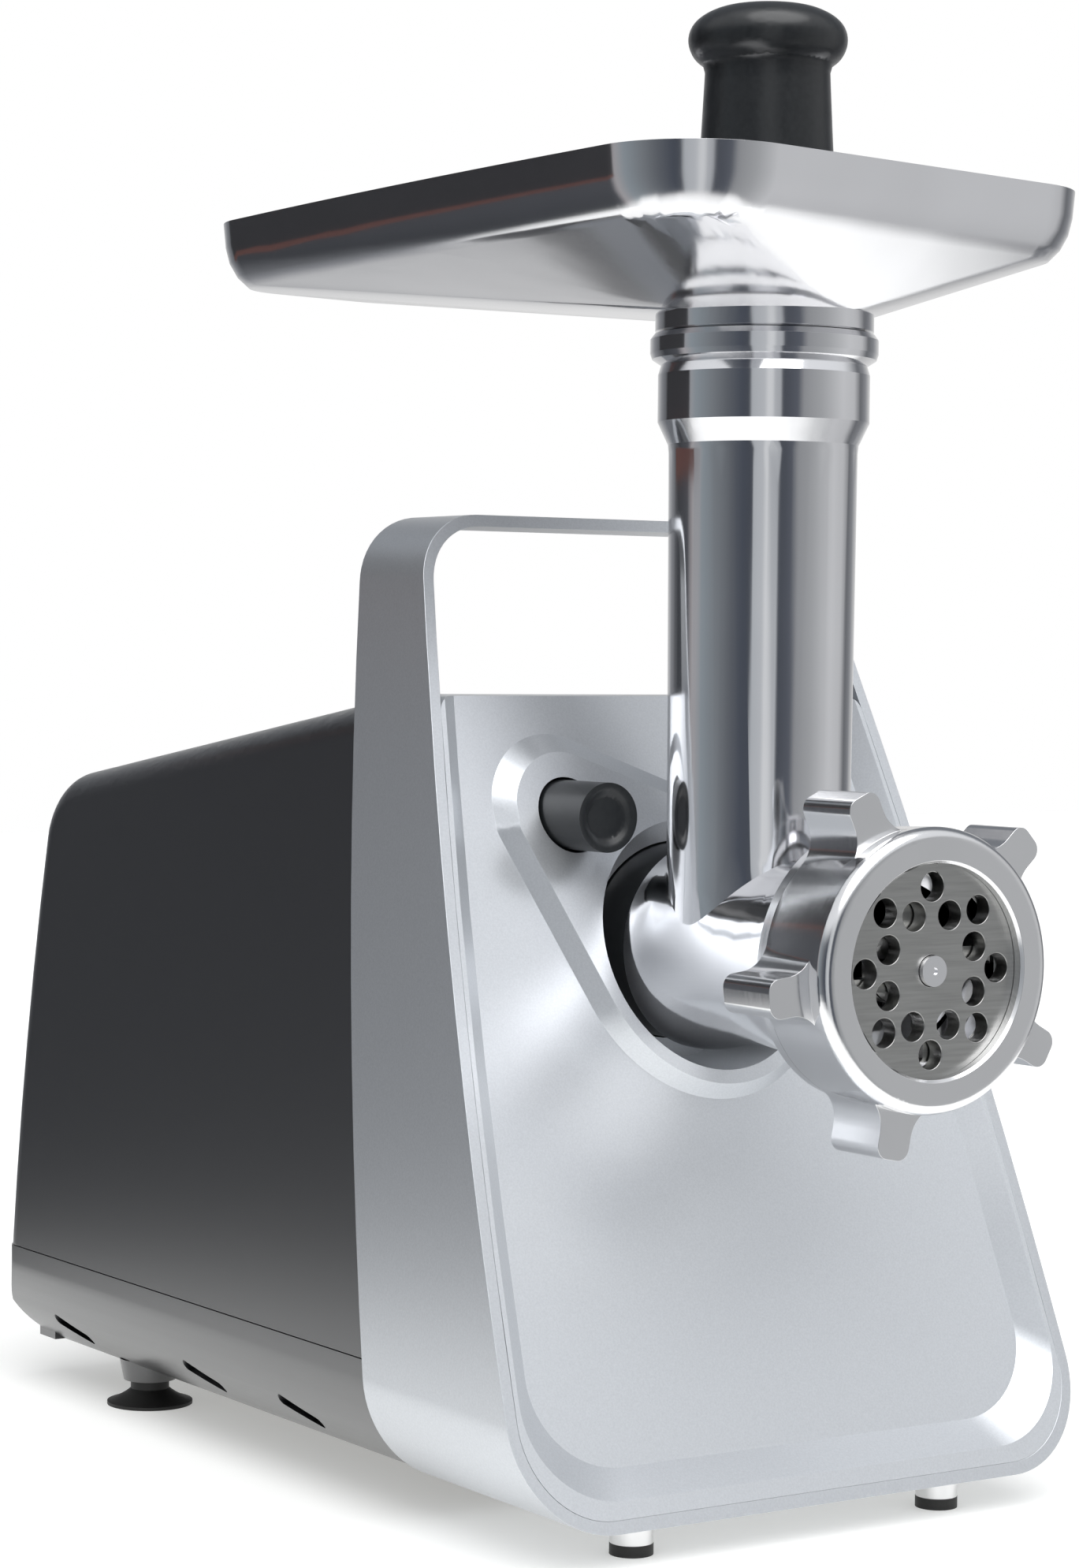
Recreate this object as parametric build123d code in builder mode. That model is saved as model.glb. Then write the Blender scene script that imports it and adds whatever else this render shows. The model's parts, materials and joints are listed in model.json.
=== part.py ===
import math
import os

from build123d import *

os.makedirs("parts", exist_ok=True)

# Frame: mm, +Z up, the grinding head points along -Y, X = 0 is the plane of symmetry.

# ---------------------------------------------------------------- shared sizes of the body
HEAD_Z = 140.4            # height of the grinding head's axis
TUBE_Y = -93.1            # feed tube axis
FRONT_Y0 = -126.5         # front plane where it meets the floor
LEAN = math.radians(20.9)  # the front leans back by this much
LEAN_TAN = math.tan(LEAN)
BAND_REAR_Y0 = -55.7
BAND_REAR_SLOPE = 0.21
BAND = 3.0                # thickness of the metal-look loop
LOOP_BOTTOM = 9.0
LOOP_TOP = 247.5
PANEL_TOP = 202.0
SEAM_Z = 39.5             # split line between housing and base
BODY_REAR = 161.0
SHELL = 2.6               # plastic wall
FOOT_X, FOOT_Y = 46.6, -108.6


def half_width(z):
    return 86.5 - 0.028 * z - 0.00031 * z * z


def front_y(z):
    return FRONT_Y0 + LEAN_TAN * z


def band_rear_y(z):
    return BAND_REAR_Y0 + BAND_REAR_SLOPE * z


def top_z(y):
    return 198.4 - 0.149 * y


def at_y(y):
    """A drawing plane across the machine: its axes are X and Z, and extruding goes to -Y."""
    return Plane(origin=(0, y, 0), x_dir=(1, 0, 0), z_dir=(0, -1, 0))


def face_plane(depth):
    """The leaning front plane, moved back into the body by depth."""
    out = (0, -math.cos(LEAN), math.sin(LEAN))
    start = (0, FRONT_Y0 - out[1] * depth, -out[2] * depth)
    return Plane(origin=start, x_dir=(1, 0, 0), z_dir=out)


def on_face(x, z, depth):
    """Where the point with this x and z lies in the axes of face_plane(depth)."""
    return (x, (z + depth * math.sin(LEAN)) / math.cos(LEAN))


def draw_loop(sketch, inset, bottom, top, low_corner=0.0, high_corner=0.0):
    """The tapering outline of the body seen from the front, drawn on an at_y plane."""
    middle = (bottom + top) / 2
    low = half_width(bottom) - inset
    mid = half_width(middle) - inset
    high = half_width(top) - inset
    with BuildLine() as outline:
        Line((-low, bottom), (low, bottom))
        ThreePointArc((low, bottom), (mid, middle), (high, top))
        Line((high, top), (-high, top))
        ThreePointArc((-high, top), (-mid, middle), (-low, bottom))
    make_face(outline.edges())
    if low_corner:
        fillet(sketch.vertices().sort_by(Axis.Y)[:2], low_corner)
    if high_corner:
        fillet(sketch.vertices().sort_by(Axis.Y)[-2:], high_corner)


def tube_along_y(outer, inner, start, end, x=0.0, z=HEAD_Z):
    """Adds a ring or, with inner 0, a disc, between two values of y, to the open part."""
    with BuildSketch(at_y(end)) as section:
        with Locations((x, z)):
            Circle(outer)
            if inner:
                Circle(inner, mode=Mode.SUBTRACT)
    extrude(section.sketch, amount=end - start)


def hole_along_y(radius, start, end, x=0.0, z=HEAD_Z):
    with BuildSketch(at_y(end)) as section:
        with Locations((x, z)):
            Circle(radius)
    extrude(section.sketch, amount=end - start, mode=Mode.SUBTRACT)


def ring_points(x, z, radius, count, first=0.0):
    step = 2 * math.pi / count
    return [
        (x + radius * math.cos(first + step * k), z + radius * math.sin(first + step * k))
        for k in range(count)
    ]


# ---------------------------------------------------------------- front frame: loop and carry handle
with BuildPart() as front_frame:
    with BuildSketch(at_y(60)) as outer_loop:
        draw_loop(outer_loop, 0, LOOP_BOTTOM, LOOP_TOP, 25, 20)
    extrude(amount=220)
    with BuildSketch(at_y(60)) as inner_loop:
        draw_loop(inner_loop, BAND, LOOP_BOTTOM + BAND, LOOP_TOP - BAND, 22, 17)
    extrude(amount=220, mode=Mode.SUBTRACT)
    with BuildSketch(Plane.YZ):
        with BuildLine():
            Polyline(
                (front_y(0), 0),
                (front_y(260), 260),
                (band_rear_y(260), 260),
                (band_rear_y(0), 0),
                close=True,
            )
        make_face()
    extrude(amount=120, both=True, mode=Mode.INTERSECT)
    # holes for the studs of the front feet
    with BuildSketch(Plane.XY):
        with Locations((-FOOT_X, FOOT_Y), (FOOT_X, FOOT_Y)):
            Circle(2.6)
    extrude(amount=20, mode=Mode.SUBTRACT)
front_frame.part.label = "front_frame"
export_step(front_frame.part, "parts/front_frame.step")

# ---------------------------------------------------------------- front panel with its raised pad
RIM = 4.3                 # flat border beside the loop, its own share included
BEVEL = 5.9
RECESS = 5.0
PANEL_DEPTH = 8.0
OPENING = 30.6            # radius of the opening that takes the head
BUTTON_X = -33.2
BUTTON_Z = 172.7
PAD_TOP = 0.8             # the pad stops this far behind the rim
FLOOR_Y = -57.0           # upright ring inside the opening


def draw_recess(sketch, depth):
    side = RIM + BEVEL * depth / RECESS
    bottom = 16.0 + (22.0 - 16.0) * depth / RECESS
    top = 225.0
    middle = (bottom + top) / 2
    low = on_face(half_width(bottom) - side, bottom, depth)
    mid = on_face(half_width(middle) - side, middle, depth)
    high = on_face(half_width(top) - side, top, depth)
    with BuildLine() as outline:
        Line((-low[0], low[1]), low)
        ThreePointArc(low, mid, high)
        Line(high, (-high[0], high[1]))
        ThreePointArc((-high[0], high[1]), (-mid[0], mid[1]), (-low[0], low[1]))
    make_face(outline.edges())
    fillet(sketch.vertices().sort_by(Axis.Y)[:2], 24 - 0.4 * depth)


def draw_pad(depth, small, large):
    """Outline that wraps a circle round the button and a circle round the opening."""
    reach_x = -BUTTON_X
    reach_z = HEAD_Z - BUTTON_Z
    reach = math.hypot(reach_x, reach_z)
    along = math.atan2(reach_z, reach_x)
    turn = math.acos(-(large - small) / reach)
    first = along + turn
    second = along - turn + 2 * math.pi

    def arc(x, z, radius, start, end, steps):
        points = []
        for k in range(steps + 1):
            angle = start + (end - start) * k / steps
            points.append(
                on_face(x + radius * math.cos(angle), z + radius * math.sin(angle), depth)
            )
        return points

    def heading(angle):
        return (-math.sin(angle), math.cos(angle) / math.cos(LEAN))

    near = arc(BUTTON_X, BUTTON_Z, small, first, second, 8)
    far = arc(0, HEAD_Z, large, second, first + 2 * math.pi, 12)
    with BuildLine() as outline:
        Spline(*near, tangents=[heading(first), heading(second)])
        Line(near[-1], far[0])
        Spline(*far, tangents=[heading(second), heading(first)])
        Line(far[-1], near[0])
    make_face(outline.edges())


with BuildPart() as front_panel:
    with BuildSketch(at_y(60)) as panel_outline:
        draw_loop(panel_outline, BAND + 0.05, LOOP_BOTTOM + BAND + 0.05, PANEL_TOP, 22, 4)
    extrude(amount=220)
    thick = PANEL_DEPTH / math.cos(LEAN)
    with BuildSketch(Plane.YZ):
        with BuildLine():
            Polyline(
                (front_y(0), 0),
                (front_y(230), 230),
                (front_y(230) + thick, 230),
                (front_y(0) + thick, 0),
                close=True,
            )
        make_face()
    extrude(amount=120, both=True, mode=Mode.INTERSECT)
    with BuildSketch(face_plane(-0.5)) as recess_front:
        draw_recess(recess_front, -0.5)
    with BuildSketch(face_plane(RECESS)) as recess_back:
        draw_recess(recess_back, RECESS)
    loft(ruled=True, mode=Mode.SUBTRACT)
    with BuildSketch(face_plane(RECESS + 0.4)):
        draw_pad(RECESS + 0.4, 20.2, 38.4)
    with BuildSketch(face_plane(PAD_TOP)):
        draw_pad(PAD_TOP, 15.5, 33.9)
    loft(ruled=True)
    # tunnel wall behind the pad, down to the upright ring
    with BuildSketch(at_y(FLOOR_Y + 2.5)):
        with Locations((0, HEAD_Z)):
            Circle(OPENING + 2.4)
    extrude(amount=34)
    with BuildSketch(Plane.YZ):
        with BuildLine():
            ahead = PAD_TOP / math.cos(LEAN)
            Polyline(
                (front_y(100) + ahead - 40, 100),
                (front_y(100) + ahead, 100),
                (front_y(181) + ahead, 181),
                (front_y(181) + ahead - 40, 181),
                close=True,
            )
        make_face()
    extrude(amount=33.6, both=True, mode=Mode.SUBTRACT)
    hole_along_y(OPENING, -140, FLOOR_Y)
    hole_along_y(25.1, FLOOR_Y - 1, FLOOR_Y + 12)
    hole_along_y(9.3, -100, -30, BUTTON_X, BUTTON_Z)
    # top return that meets the housing
    back = -14.2
    with BuildSketch(at_y(back)) as shelf:
        draw_loop(shelf, BAND + 0.05, PANEL_TOP - 2.4, PANEL_TOP)
    extrude(amount=back - front_y(PANEL_TOP) - PANEL_DEPTH)
    # room for the nuts of the front feet
    with BuildSketch(Plane.XY.offset(11)):
        with Locations((-FOOT_X, FOOT_Y), (FOOT_X, FOOT_Y)):
            Circle(4.8)
    extrude(amount=7.6, mode=Mode.SUBTRACT)
front_panel.part.label = "front_panel"
export_step(front_panel.part, "parts/front_panel.step")

# ---------------------------------------------------------------- rear housing and base
GAP = 0.3


def base_block(inset, floor, ceiling, rear_corner, side_corner, low_corner):
    """The tapering block behind the loop; floor and ceiling cut it for the housing or the base."""
    with BuildPart() as block:
        with BuildSketch(at_y(BODY_REAR - inset)) as section:
            draw_loop(section, 0.8 + inset, floor, ceiling, low_corner)
        extrude(amount=280)
        start = band_rear_y(floor) + GAP
        end = BODY_REAR - inset
        with BuildSketch(Plane.YZ) as side:
            with BuildLine():
                Polyline(
                    (start, floor),
                    (band_rear_y(ceiling) + GAP, ceiling),
                    (end, ceiling),
                    (end, floor),
                    close=True,
                )
            make_face()
            if low_corner:
                fillet(side.vertices().group_by(Axis.X)[-1].sort_by(Axis.Y)[:1], rear_corner)
        extrude(amount=120, both=True, mode=Mode.INTERSECT)
        # round the two upright rear corners
        centre_x = half_width(SEAM_Z) - 0.4 - inset - side_corner
        with BuildSketch(Plane.XY.offset(floor - 1)) as corners:
            for side_sign in (-1, 1):
                with Locations((side_sign * (centre_x + 15), end - side_corner + 15)):
                    Rectangle(30, 30)
                with Locations((side_sign * centre_x, end - side_corner)):
                    Circle(side_corner, mode=Mode.SUBTRACT)
        extrude(amount=ceiling - floor + 2, mode=Mode.SUBTRACT)
    return block.part


def housing_block(inset, rear_corner, edge_corner):
    """The upper block: its roof falls towards the rear."""
    with BuildPart() as block:
        with BuildSketch(at_y(BODY_REAR - inset)) as section:
            draw_loop(section, 0.8 + inset, SEAM_Z + 0.15, 225.0)
        extrude(amount=280)
        low = SEAM_Z + 0.15
        end = BODY_REAR - inset
        front_top = top_z(band_rear_y(200)) - inset
        with BuildSketch(Plane.YZ) as side:
            with BuildLine():
                Polyline(
                    (band_rear_y(low) + GAP - 4 * inset, low),
                    (band_rear_y(front_top) + GAP - 4 * inset, front_top),
                    (end, top_z(end) - inset),
                    (end, low),
                    close=True,
                )
            make_face()
            fillet(side.vertices().group_by(Axis.X)[-1].sort_by(Axis.Y)[-1:], rear_corner)
        extrude(amount=120, both=True, mode=Mode.INTERSECT)
        wrap = block.edges().filter_by(
            lambda e: abs(e.center().X) > 45
            and e.center().Z > low + 1
            and (e.center().Y > end - rear_corner - 1 or abs(e.tangent_at(0.5).Y) > 0.9)
        )
        fillet(wrap, edge_corner)
    return block.part


outer_housing = housing_block(0, 21, 11)
inner_housing = housing_block(SHELL, 18.4, 8.4)

GEARBOX_FRONT = -37.0
GEARBOX_REAR = 10.0
CASE_WALL = 3.0
COVER_WALL = 3.0

# gear train: tooth counts and modules, from the output gear back to the motor
OUT_TEETH, THIRD_PINION, OUT_MODULE = 44, 11, 1.5
SECOND_TEETH, SECOND_PINION, SECOND_MODULE = 45, 10, 1.25
FIRST_TEETH, MOTOR_PINION, FIRST_MODULE = 54, 9, 1.0
PRESSURE = math.radians(25)
BACKLASH = 0.16

OUT_AXIS = (0.0, HEAD_Z)
second_reach = OUT_MODULE * (OUT_TEETH + THIRD_PINION) / 2
SECOND_AXIS = (-22.0, HEAD_Z - math.sqrt(second_reach**2 - 22.0**2))
first_reach = SECOND_MODULE * (SECOND_TEETH + SECOND_PINION) / 2
FIRST_AXIS = (8.0, SECOND_AXIS[1] - math.sqrt(first_reach**2 - 30.0**2))
motor_reach = FIRST_MODULE * (FIRST_TEETH + MOTOR_PINION) / 2
MOTOR_AXIS = (0.0, FIRST_AXIS[1] + math.sqrt(motor_reach**2 - 8.0**2))

# ---------------------------------------------------------------- main housing
SWITCH_Y, SWITCH_Z = 70.0, 74.0
SCREW_X = 64.0
SCREW_ROWS = (-22.0, 128.0)
CUP_X, CUP_Y = 64.6, 103.5

with BuildPart() as main_housing:
    add(outer_housing)
    add(inner_housing, mode=Mode.SUBTRACT)
    # screw bosses on short ribs from the side walls
    for side in (-1, 1):
        for y in SCREW_ROWS:
            with BuildSketch(Plane.XY.offset(SEAM_Z + 0.15)):
                with Locations((side * SCREW_X, y)):
                    Circle(4.6)
                with Locations((side * (SCREW_X + 9.0), y)):
                    Rectangle(18.0, 3.0)
            extrude(amount=22)
            with BuildSketch(Plane.XY.offset(SEAM_Z)):
                with Locations((side * SCREW_X, y)):
                    Circle(1.95)
            extrude(amount=20, mode=Mode.SUBTRACT)
    # square window for the switch
    with Locations((82, SWITCH_Y, SWITCH_Z)):
        Box(14, 22.4, 28.4, mode=Mode.SUBTRACT)
    # cooling slots in the rear wall
    for row in range(7):
        with Locations((0, BODY_REAR, 92 + 8 * row)):
            Box(74, 14, 3.2, mode=Mode.SUBTRACT)
main_housing.part.label = "main_housing"
export_step(main_housing.part, "parts/main_housing.step")

# ---------------------------------------------------------------- base cover
outer_base = base_block(0, 9.7, SEAM_Z - 0.15, 26, 11, 24)
inner_base = base_block(2.4, 12.1, SEAM_Z + 6, 23.6, 8.6, 21.6)

with BuildPart() as base_cover:
    add(outer_base)
    add(inner_base, mode=Mode.SUBTRACT)
    # tongue that reaches forward inside the loop and carries the front feet
    with Locations((0, -80.7, 13.5)):
        Box(112, 61.4, 2.4)
    with Locations((0, -49.3, 12.4)):
        Box(112, 7.2, 4.6)
    for side in (-1, 1):
        for y in SCREW_ROWS:
            with BuildSketch(Plane.XY.offset(11.5)):
                with Locations((side * SCREW_X, y)):
                    Circle(4.6)
            extrude(amount=SEAM_Z - 0.15 - 11.5)
            with BuildSketch(Plane.XY):
                with Locations((side * SCREW_X, y)):
                    Circle(1.95)
            extrude(amount=60, mode=Mode.SUBTRACT)
            with BuildSketch(Plane.XY):
                with Locations((side * SCREW_X, y)):
                    Circle(3.9)
            extrude(amount=16, mode=Mode.SUBTRACT)
        # boss above each suction foot
        with BuildSketch(Plane.XY.offset(7.0)):
            with Locations((side * CUP_X, CUP_Y)):
                Circle(7.4)
        with BuildSketch(Plane.XY.offset(13.0)):
            with Locations((side * CUP_X, CUP_Y)):
                Circle(8.6)
        loft(ruled=True)
        with BuildSketch(Plane.XY.offset(6.0)):
            with Locations((side * CUP_X, CUP_Y)):
                Circle(3.1)
        extrude(amount=6.2, mode=Mode.SUBTRACT)
        with BuildSketch(Plane.XY):
            with Locations((side * FOOT_X, FOOT_Y)):
                Circle(2.6)
        extrude(amount=20, mode=Mode.SUBTRACT)
        # slanting cooling slots through the rounded lower corner
        for y in (122.0, 44.0, -8.0):
            with BuildSketch(Plane(origin=(side * 62, y, 19.2), x_dir=(0, 1, 0), z_dir=(1, 0, 0))):
                SlotOverall(18, 3.0, rotation=14)
            extrude(amount=side * 30, mode=Mode.SUBTRACT)
        # little foot rib under the rear corner
        with Locations((side * 72, 148, 15.5)):
            Box(6, 10, 6)
    # standoffs for the circuit board
    for x in (-24, 24):
        for y in (66, 122):
            with BuildSketch(Plane.XY.offset(11.8)):
                with Locations((x, y)):
                    Circle(3.2)
            extrude(amount=8.2)
            with BuildSketch(Plane.XY.offset(14)):
                with Locations((x, y)):
                    Circle(1.3)
            extrude(amount=10, mode=Mode.SUBTRACT)
    # hole for the cord gland
    hole_along_y(6.6, BODY_REAR - 16, BODY_REAR + 5, -40, 26)
base_cover.part.label = "base_cover"
export_step(base_cover.part, "parts/base_cover.step")

# ---------------------------------------------------------------- feet
with BuildPart() as front_feet:
    for side in (-1, 1):
        with BuildSketch(Plane.XY.offset(2.8)):
            with Locations((side * FOOT_X, FOOT_Y)):
                Circle(5.25)
        extrude(amount=LOOP_BOTTOM - 0.1 - 2.8)
        with BuildSketch(Plane.XY.offset(8.0)):
            with Locations((side * FOOT_X, FOOT_Y)):
                Circle(2.5)
        extrude(amount=10.5)
        with BuildSketch(Plane.XY.offset(15.0)):
            with Locations((side * FOOT_X, FOOT_Y)):
                RegularPolygon(4.2, 6)
        extrude(amount=3.2)
        with BuildSketch(Plane.XY.offset(2.8)):
            with Locations((side * FOOT_X, FOOT_Y)):
                Circle(2.05)
        extrude(amount=3.4, mode=Mode.SUBTRACT)
front_feet.part.label = "front_feet"
export_step(front_feet.part, "parts/front_feet.step")

with BuildPart() as front_foot_pads:
    for side in (-1, 1):
        with BuildSketch(Plane.XY):
            with Locations((side * FOOT_X, FOOT_Y)):
                Circle(5.3)
        extrude(amount=2.75)
        with BuildSketch(Plane.XY.offset(2.7)):
            with Locations((side * FOOT_X, FOOT_Y)):
                Circle(2.0)
        extrude(amount=3.3)
front_foot_pads.part.label = "front_foot_pads"
export_step(front_foot_pads.part, "parts/front_foot_pads.step")

with BuildPart() as suction_cups:
    for side in (-1, 1):
        with BuildSketch(Plane(origin=(side * CUP_X, CUP_Y, 0), x_dir=(1, 0, 0), z_dir=(0, -1, 0))):
            with BuildLine():
                Line((0, 1.6), (8.5, 0.0))
                Line((8.5, 0.0), (12.0, 0.0))
                Line((12.0, 0.0), (12.0, 0.9))
                ThreePointArc((12.0, 0.9), (8.6, 2.2), (5.4, 4.4))
                Line((5.4, 4.4), (5.4, 6.8))
                Line((5.4, 6.8), (3.0, 6.8))
                Line((3.0, 6.8), (3.0, 11.8))
                Line((3.0, 11.8), (0, 11.8))
                Line((0, 11.8), (0, 1.6))
            make_face()
        revolve(axis=Axis((side * CUP_X, CUP_Y, 0), (0, 0, 1)))
suction_cups.part.label = "suction_cups"
export_step(suction_cups.part, "parts/suction_cups.step")

# ---------------------------------------------------------------- head socket: black drum behind the panel
DRUM_FRONT = -73.1
SOCKET_FLANGE = (-50.9, -47.6)
EAR_REACH = 36.3
EAR_ANGLES = (20, 160, 235, 305)
TAB_SPAN = 26             # degrees covered by each bayonet tab and each rib


def wedge_ring(outer, inner, start, end, middle, span, mode=Mode.ADD):
    """Part of a ring about the head axis, centred on the angle middle (degrees from +X to +Z)."""
    first = math.radians(middle - span / 2)
    last = math.radians(middle + span / 2)
    centre = math.radians(middle)

    def point(radius, angle):
        return (radius * math.cos(angle), HEAD_Z + radius * math.sin(angle))

    with BuildSketch(at_y(end)) as section:
        with BuildLine() as outline:
            Line(point(inner, first), point(outer, first))
            ThreePointArc(point(outer, first), point(outer, centre), point(outer, last))
            Line(point(outer, last), point(inner, last))
            ThreePointArc(point(inner, last), point(inner, centre), point(inner, first))
        make_face(outline.edges())
    extrude(section.sketch, amount=end - start, mode=mode)


def ear_points():
    return [
        (
            EAR_REACH * math.cos(math.radians(angle)),
            HEAD_Z + EAR_REACH * math.sin(math.radians(angle)),
        )
        for angle in EAR_ANGLES
    ]


with BuildPart() as head_socket:
    tube_along_y(24.7, 21.9, DRUM_FRONT, SOCKET_FLANGE[1])
    tube_along_y(34.0, 21.9, SOCKET_FLANGE[0], SOCKET_FLANGE[1])
    for x, z in ear_points():
        tube_along_y(4.5, 0, SOCKET_FLANGE[0], SOCKET_FLANGE[1], x, z)
    for middle in (30, 150, 270):
        wedge_ring(23.0, 20.5, -69.0, -64.5, middle, TAB_SPAN)
    for x, z in ear_points():
        hole_along_y(1.8, -60, -40, x, z)
head_socket.part.label = "head_socket"
export_step(head_socket.part, "parts/head_socket.step")

with BuildPart() as socket_screws:
    for x, z in ear_points():
        tube_along_y(1.7, 0, -51.5, -38.5, x, z)
        tube_along_y(3.0, 0, -53.2, -50.95, x, z)
socket_screws.part.label = "socket_screws"
export_step(socket_screws.part, "parts/socket_screws.step")

# ---------------------------------------------------------------- lock button, catch and spring
BUTTON_TRAVEL = 4.5
PIN_RADIUS = 17.8
button_angle = math.atan2(BUTTON_Z - HEAD_Z, BUTTON_X)
button_reach = math.hypot(BUTTON_X, BUTTON_Z - HEAD_Z)
PIN_X = PIN_RADIUS * math.cos(button_angle)
PIN_Z = HEAD_Z + PIN_RADIUS * math.sin(button_angle)

with BuildPart() as lock_button:
    tube_along_y(8.6, 0, -76.3, -55.0, BUTTON_X, BUTTON_Z)
    # shallow dish in the face
    with BuildSketch(at_y(-76.3)) as rim:
        with Locations((BUTTON_X, BUTTON_Z)):
            Circle(7.4)
    with BuildSketch(at_y(-75.0)) as dish:
        with Locations((BUTTON_X, BUTTON_Z)):
            Circle(5.0)
    loft(ruled=True, mode=Mode.SUBTRACT)
    tube_along_y(4.6, 0, -55.1, -43.9, BUTTON_X, BUTTON_Z)
    tube_along_y(2.2, 0, -44.0, -39.2, BUTTON_X, BUTTON_Z)
    with BuildSketch(at_y(-43.9)):
        middle = ((BUTTON_X + PIN_X) / 2, (BUTTON_Z + PIN_Z) / 2)
        with Locations(middle):
            SlotCenterToCenter(
                button_reach - PIN_RADIUS, 6.0, rotation=math.degrees(button_angle)
            )
    extrude(amount=3.0)
    tube_along_y(1.5, 0, -59.6, -46.8, PIN_X, PIN_Z)
lock_button.part.label = "lock_button"
export_step(lock_button.part, "parts/lock_button.step")

with BuildPart() as button_spring:
    # closed coils joined by short links stand for the wound wire
    coils = (-43.3, -41.4, -39.5, -37.6)
    for y in coils:
        with Locations(Location((BUTTON_X, y, BUTTON_Z), (90, 0, 0))):
            Torus(3.4, 0.45)
    for k in range(3):
        turn = math.radians(90 + 180 * (k % 2))
        x = BUTTON_X + 3.4 * math.cos(turn)
        z = BUTTON_Z + 3.4 * math.sin(turn)
        with Locations((x, coils[k] + 0.95, z)):
            Box(0.6, 1.7, 0.6)
button_spring.part.label = "button_spring"
export_step(button_spring.part, "parts/button_spring.step")

# ---------------------------------------------------------------- gearbox case and cover
CASE_X = (-58.0, 50.0)
CASE_Z = (52.0, 184.0)
case_mid = (sum(CASE_X) / 2, sum(CASE_Z) / 2)
case_size = (CASE_X[1] - CASE_X[0], CASE_Z[1] - CASE_Z[0])
case_corners = [
    (x, z)
    for x in (CASE_X[0] + 7, CASE_X[1] - 7)
    for z in (CASE_Z[0] + 7, CASE_Z[1] - 7)
]

with BuildPart() as gearbox_case:
    with BuildSketch(at_y(GEARBOX_REAR)):
        with Locations(case_mid):
            RectangleRounded(case_size[0], case_size[1], 8)
    extrude(amount=GEARBOX_REAR - GEARBOX_FRONT)
    with BuildSketch(at_y(GEARBOX_REAR)):
        with Locations(case_mid):
            RectangleRounded(case_size[0] - 2 * CASE_WALL, case_size[1] - 2 * CASE_WALL, 5)
    extrude(amount=GEARBOX_REAR - GEARBOX_FRONT - CASE_WALL, mode=Mode.SUBTRACT)
    # corner pillars for the cover screws
    for x, z in case_corners:
        tube_along_y(4.6, 0, GEARBOX_FRONT, GEARBOX_REAR, x, z)
    for x, z in case_corners:
        hole_along_y(1.6, GEARBOX_REAR - 16, GEARBOX_REAR, x, z)
    # pillars that hold the head socket
    for x, z in ear_points():
        tube_along_y(4.2, 0, SOCKET_FLANGE[1] + 0.05, GEARBOX_FRONT + 1, x, z)
        hole_along_y(1.75, -52, -38, x, z)
    # bearing seats
    tube_along_y(14.0, 0, GEARBOX_FRONT - 5, GEARBOX_FRONT + 1)
    hole_along_y(12.05, GEARBOX_FRONT - 6, GEARBOX_FRONT + 4)
    for axis in (SECOND_AXIS, FIRST_AXIS):
        tube_along_y(7.5, 0, GEARBOX_FRONT + 1, GEARBOX_FRONT + 7, axis[0], axis[1])
        hole_along_y(4.02, GEARBOX_FRONT + 1.5, GEARBOX_FRONT + 8, axis[0], axis[1])
    # hole for the button's guide stem
    hole_along_y(2.28, -40, -30, BUTTON_X, BUTTON_Z)
gearbox_case.part.label = "gearbox_case"
export_step(gearbox_case.part, "parts/gearbox_case.step")

MOTOR_BEARING = (14.0, 20.0)

with BuildPart() as gearbox_cover:
    with BuildSketch(at_y(GEARBOX_REAR + COVER_WALL)):
        with Locations(case_mid):
            RectangleRounded(case_size[0], case_size[1], 8)
    extrude(amount=COVER_WALL - 0.05)
    for x, z in case_corners:
        hole_along_y(1.8, 0, 20, x, z)
    # inner seats for the two axles and the output bushing, outer seat for the motor
    tube_along_y(11.5, 0, -6.0, GEARBOX_REAR + 1)
    hole_along_y(9.05, -7.0, GEARBOX_REAR - 2)
    for axis in (SECOND_AXIS, FIRST_AXIS):
        tube_along_y(7.0, 0, GEARBOX_REAR - 1.5, GEARBOX_REAR + 5, axis[0], axis[1])
        hole_along_y(4.02, GEARBOX_REAR - 2, GEARBOX_REAR + 4, axis[0], axis[1])
    tube_along_y(11.5, 0, GEARBOX_REAR + 1, MOTOR_BEARING[1], *MOTOR_AXIS)
    hole_along_y(8.52, MOTOR_BEARING[0] - 0.5, MOTOR_BEARING[1] + 1, *MOTOR_AXIS)
    hole_along_y(5.6, GEARBOX_REAR - 3, MOTOR_BEARING[1], *MOTOR_AXIS)
gearbox_cover.part.label = "gearbox_cover"
export_step(gearbox_cover.part, "parts/gearbox_cover.step")

with BuildPart() as gearbox_screws:
    for x, z in case_corners:
        tube_along_y(1.5, 0, GEARBOX_REAR - 14, GEARBOX_REAR + 3.2, x, z)
        tube_along_y(3.0, 0, GEARBOX_REAR + 3.05, GEARBOX_REAR + 5.4, x, z)
gearbox_screws.part.label = "gearbox_screws"
export_step(gearbox_screws.part, "parts/gearbox_screws.step")


# ---------------------------------------------------------------- gears
def gear_points(module, teeth, first_angle):
    """Outline of a spur gear with stub involute teeth; one tooth is centred on first_angle."""
    pitch = module * teeth / 2
    base = pitch * math.cos(PRESSURE)
    tip = pitch + 0.8 * module
    root = pitch - 1.05 * module
    start = max(base, root)
    half = math.pi / (2 * teeth) - BACKLASH / (4 * pitch)
    involute = math.tan(PRESSURE) - PRESSURE
    flank = []
    for k in range(4):
        radius = start + (tip - start) * k / 3
        angle = math.acos(min(1.0, base / radius))
        flank.append((radius, half + involute - (math.tan(angle) - angle)))
    if root < base:
        flank.insert(0, (root, flank[0][1]))
    points = []
    for k in range(teeth):
        middle = first_angle + 2 * math.pi * k / teeth
        for radius, offset in flank:
            points.append((radius * math.cos(middle - offset), radius * math.sin(middle - offset)))
        for radius, offset in reversed(flank):
            points.append((radius * math.cos(middle + offset), radius * math.sin(middle + offset)))
    return points


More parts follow.
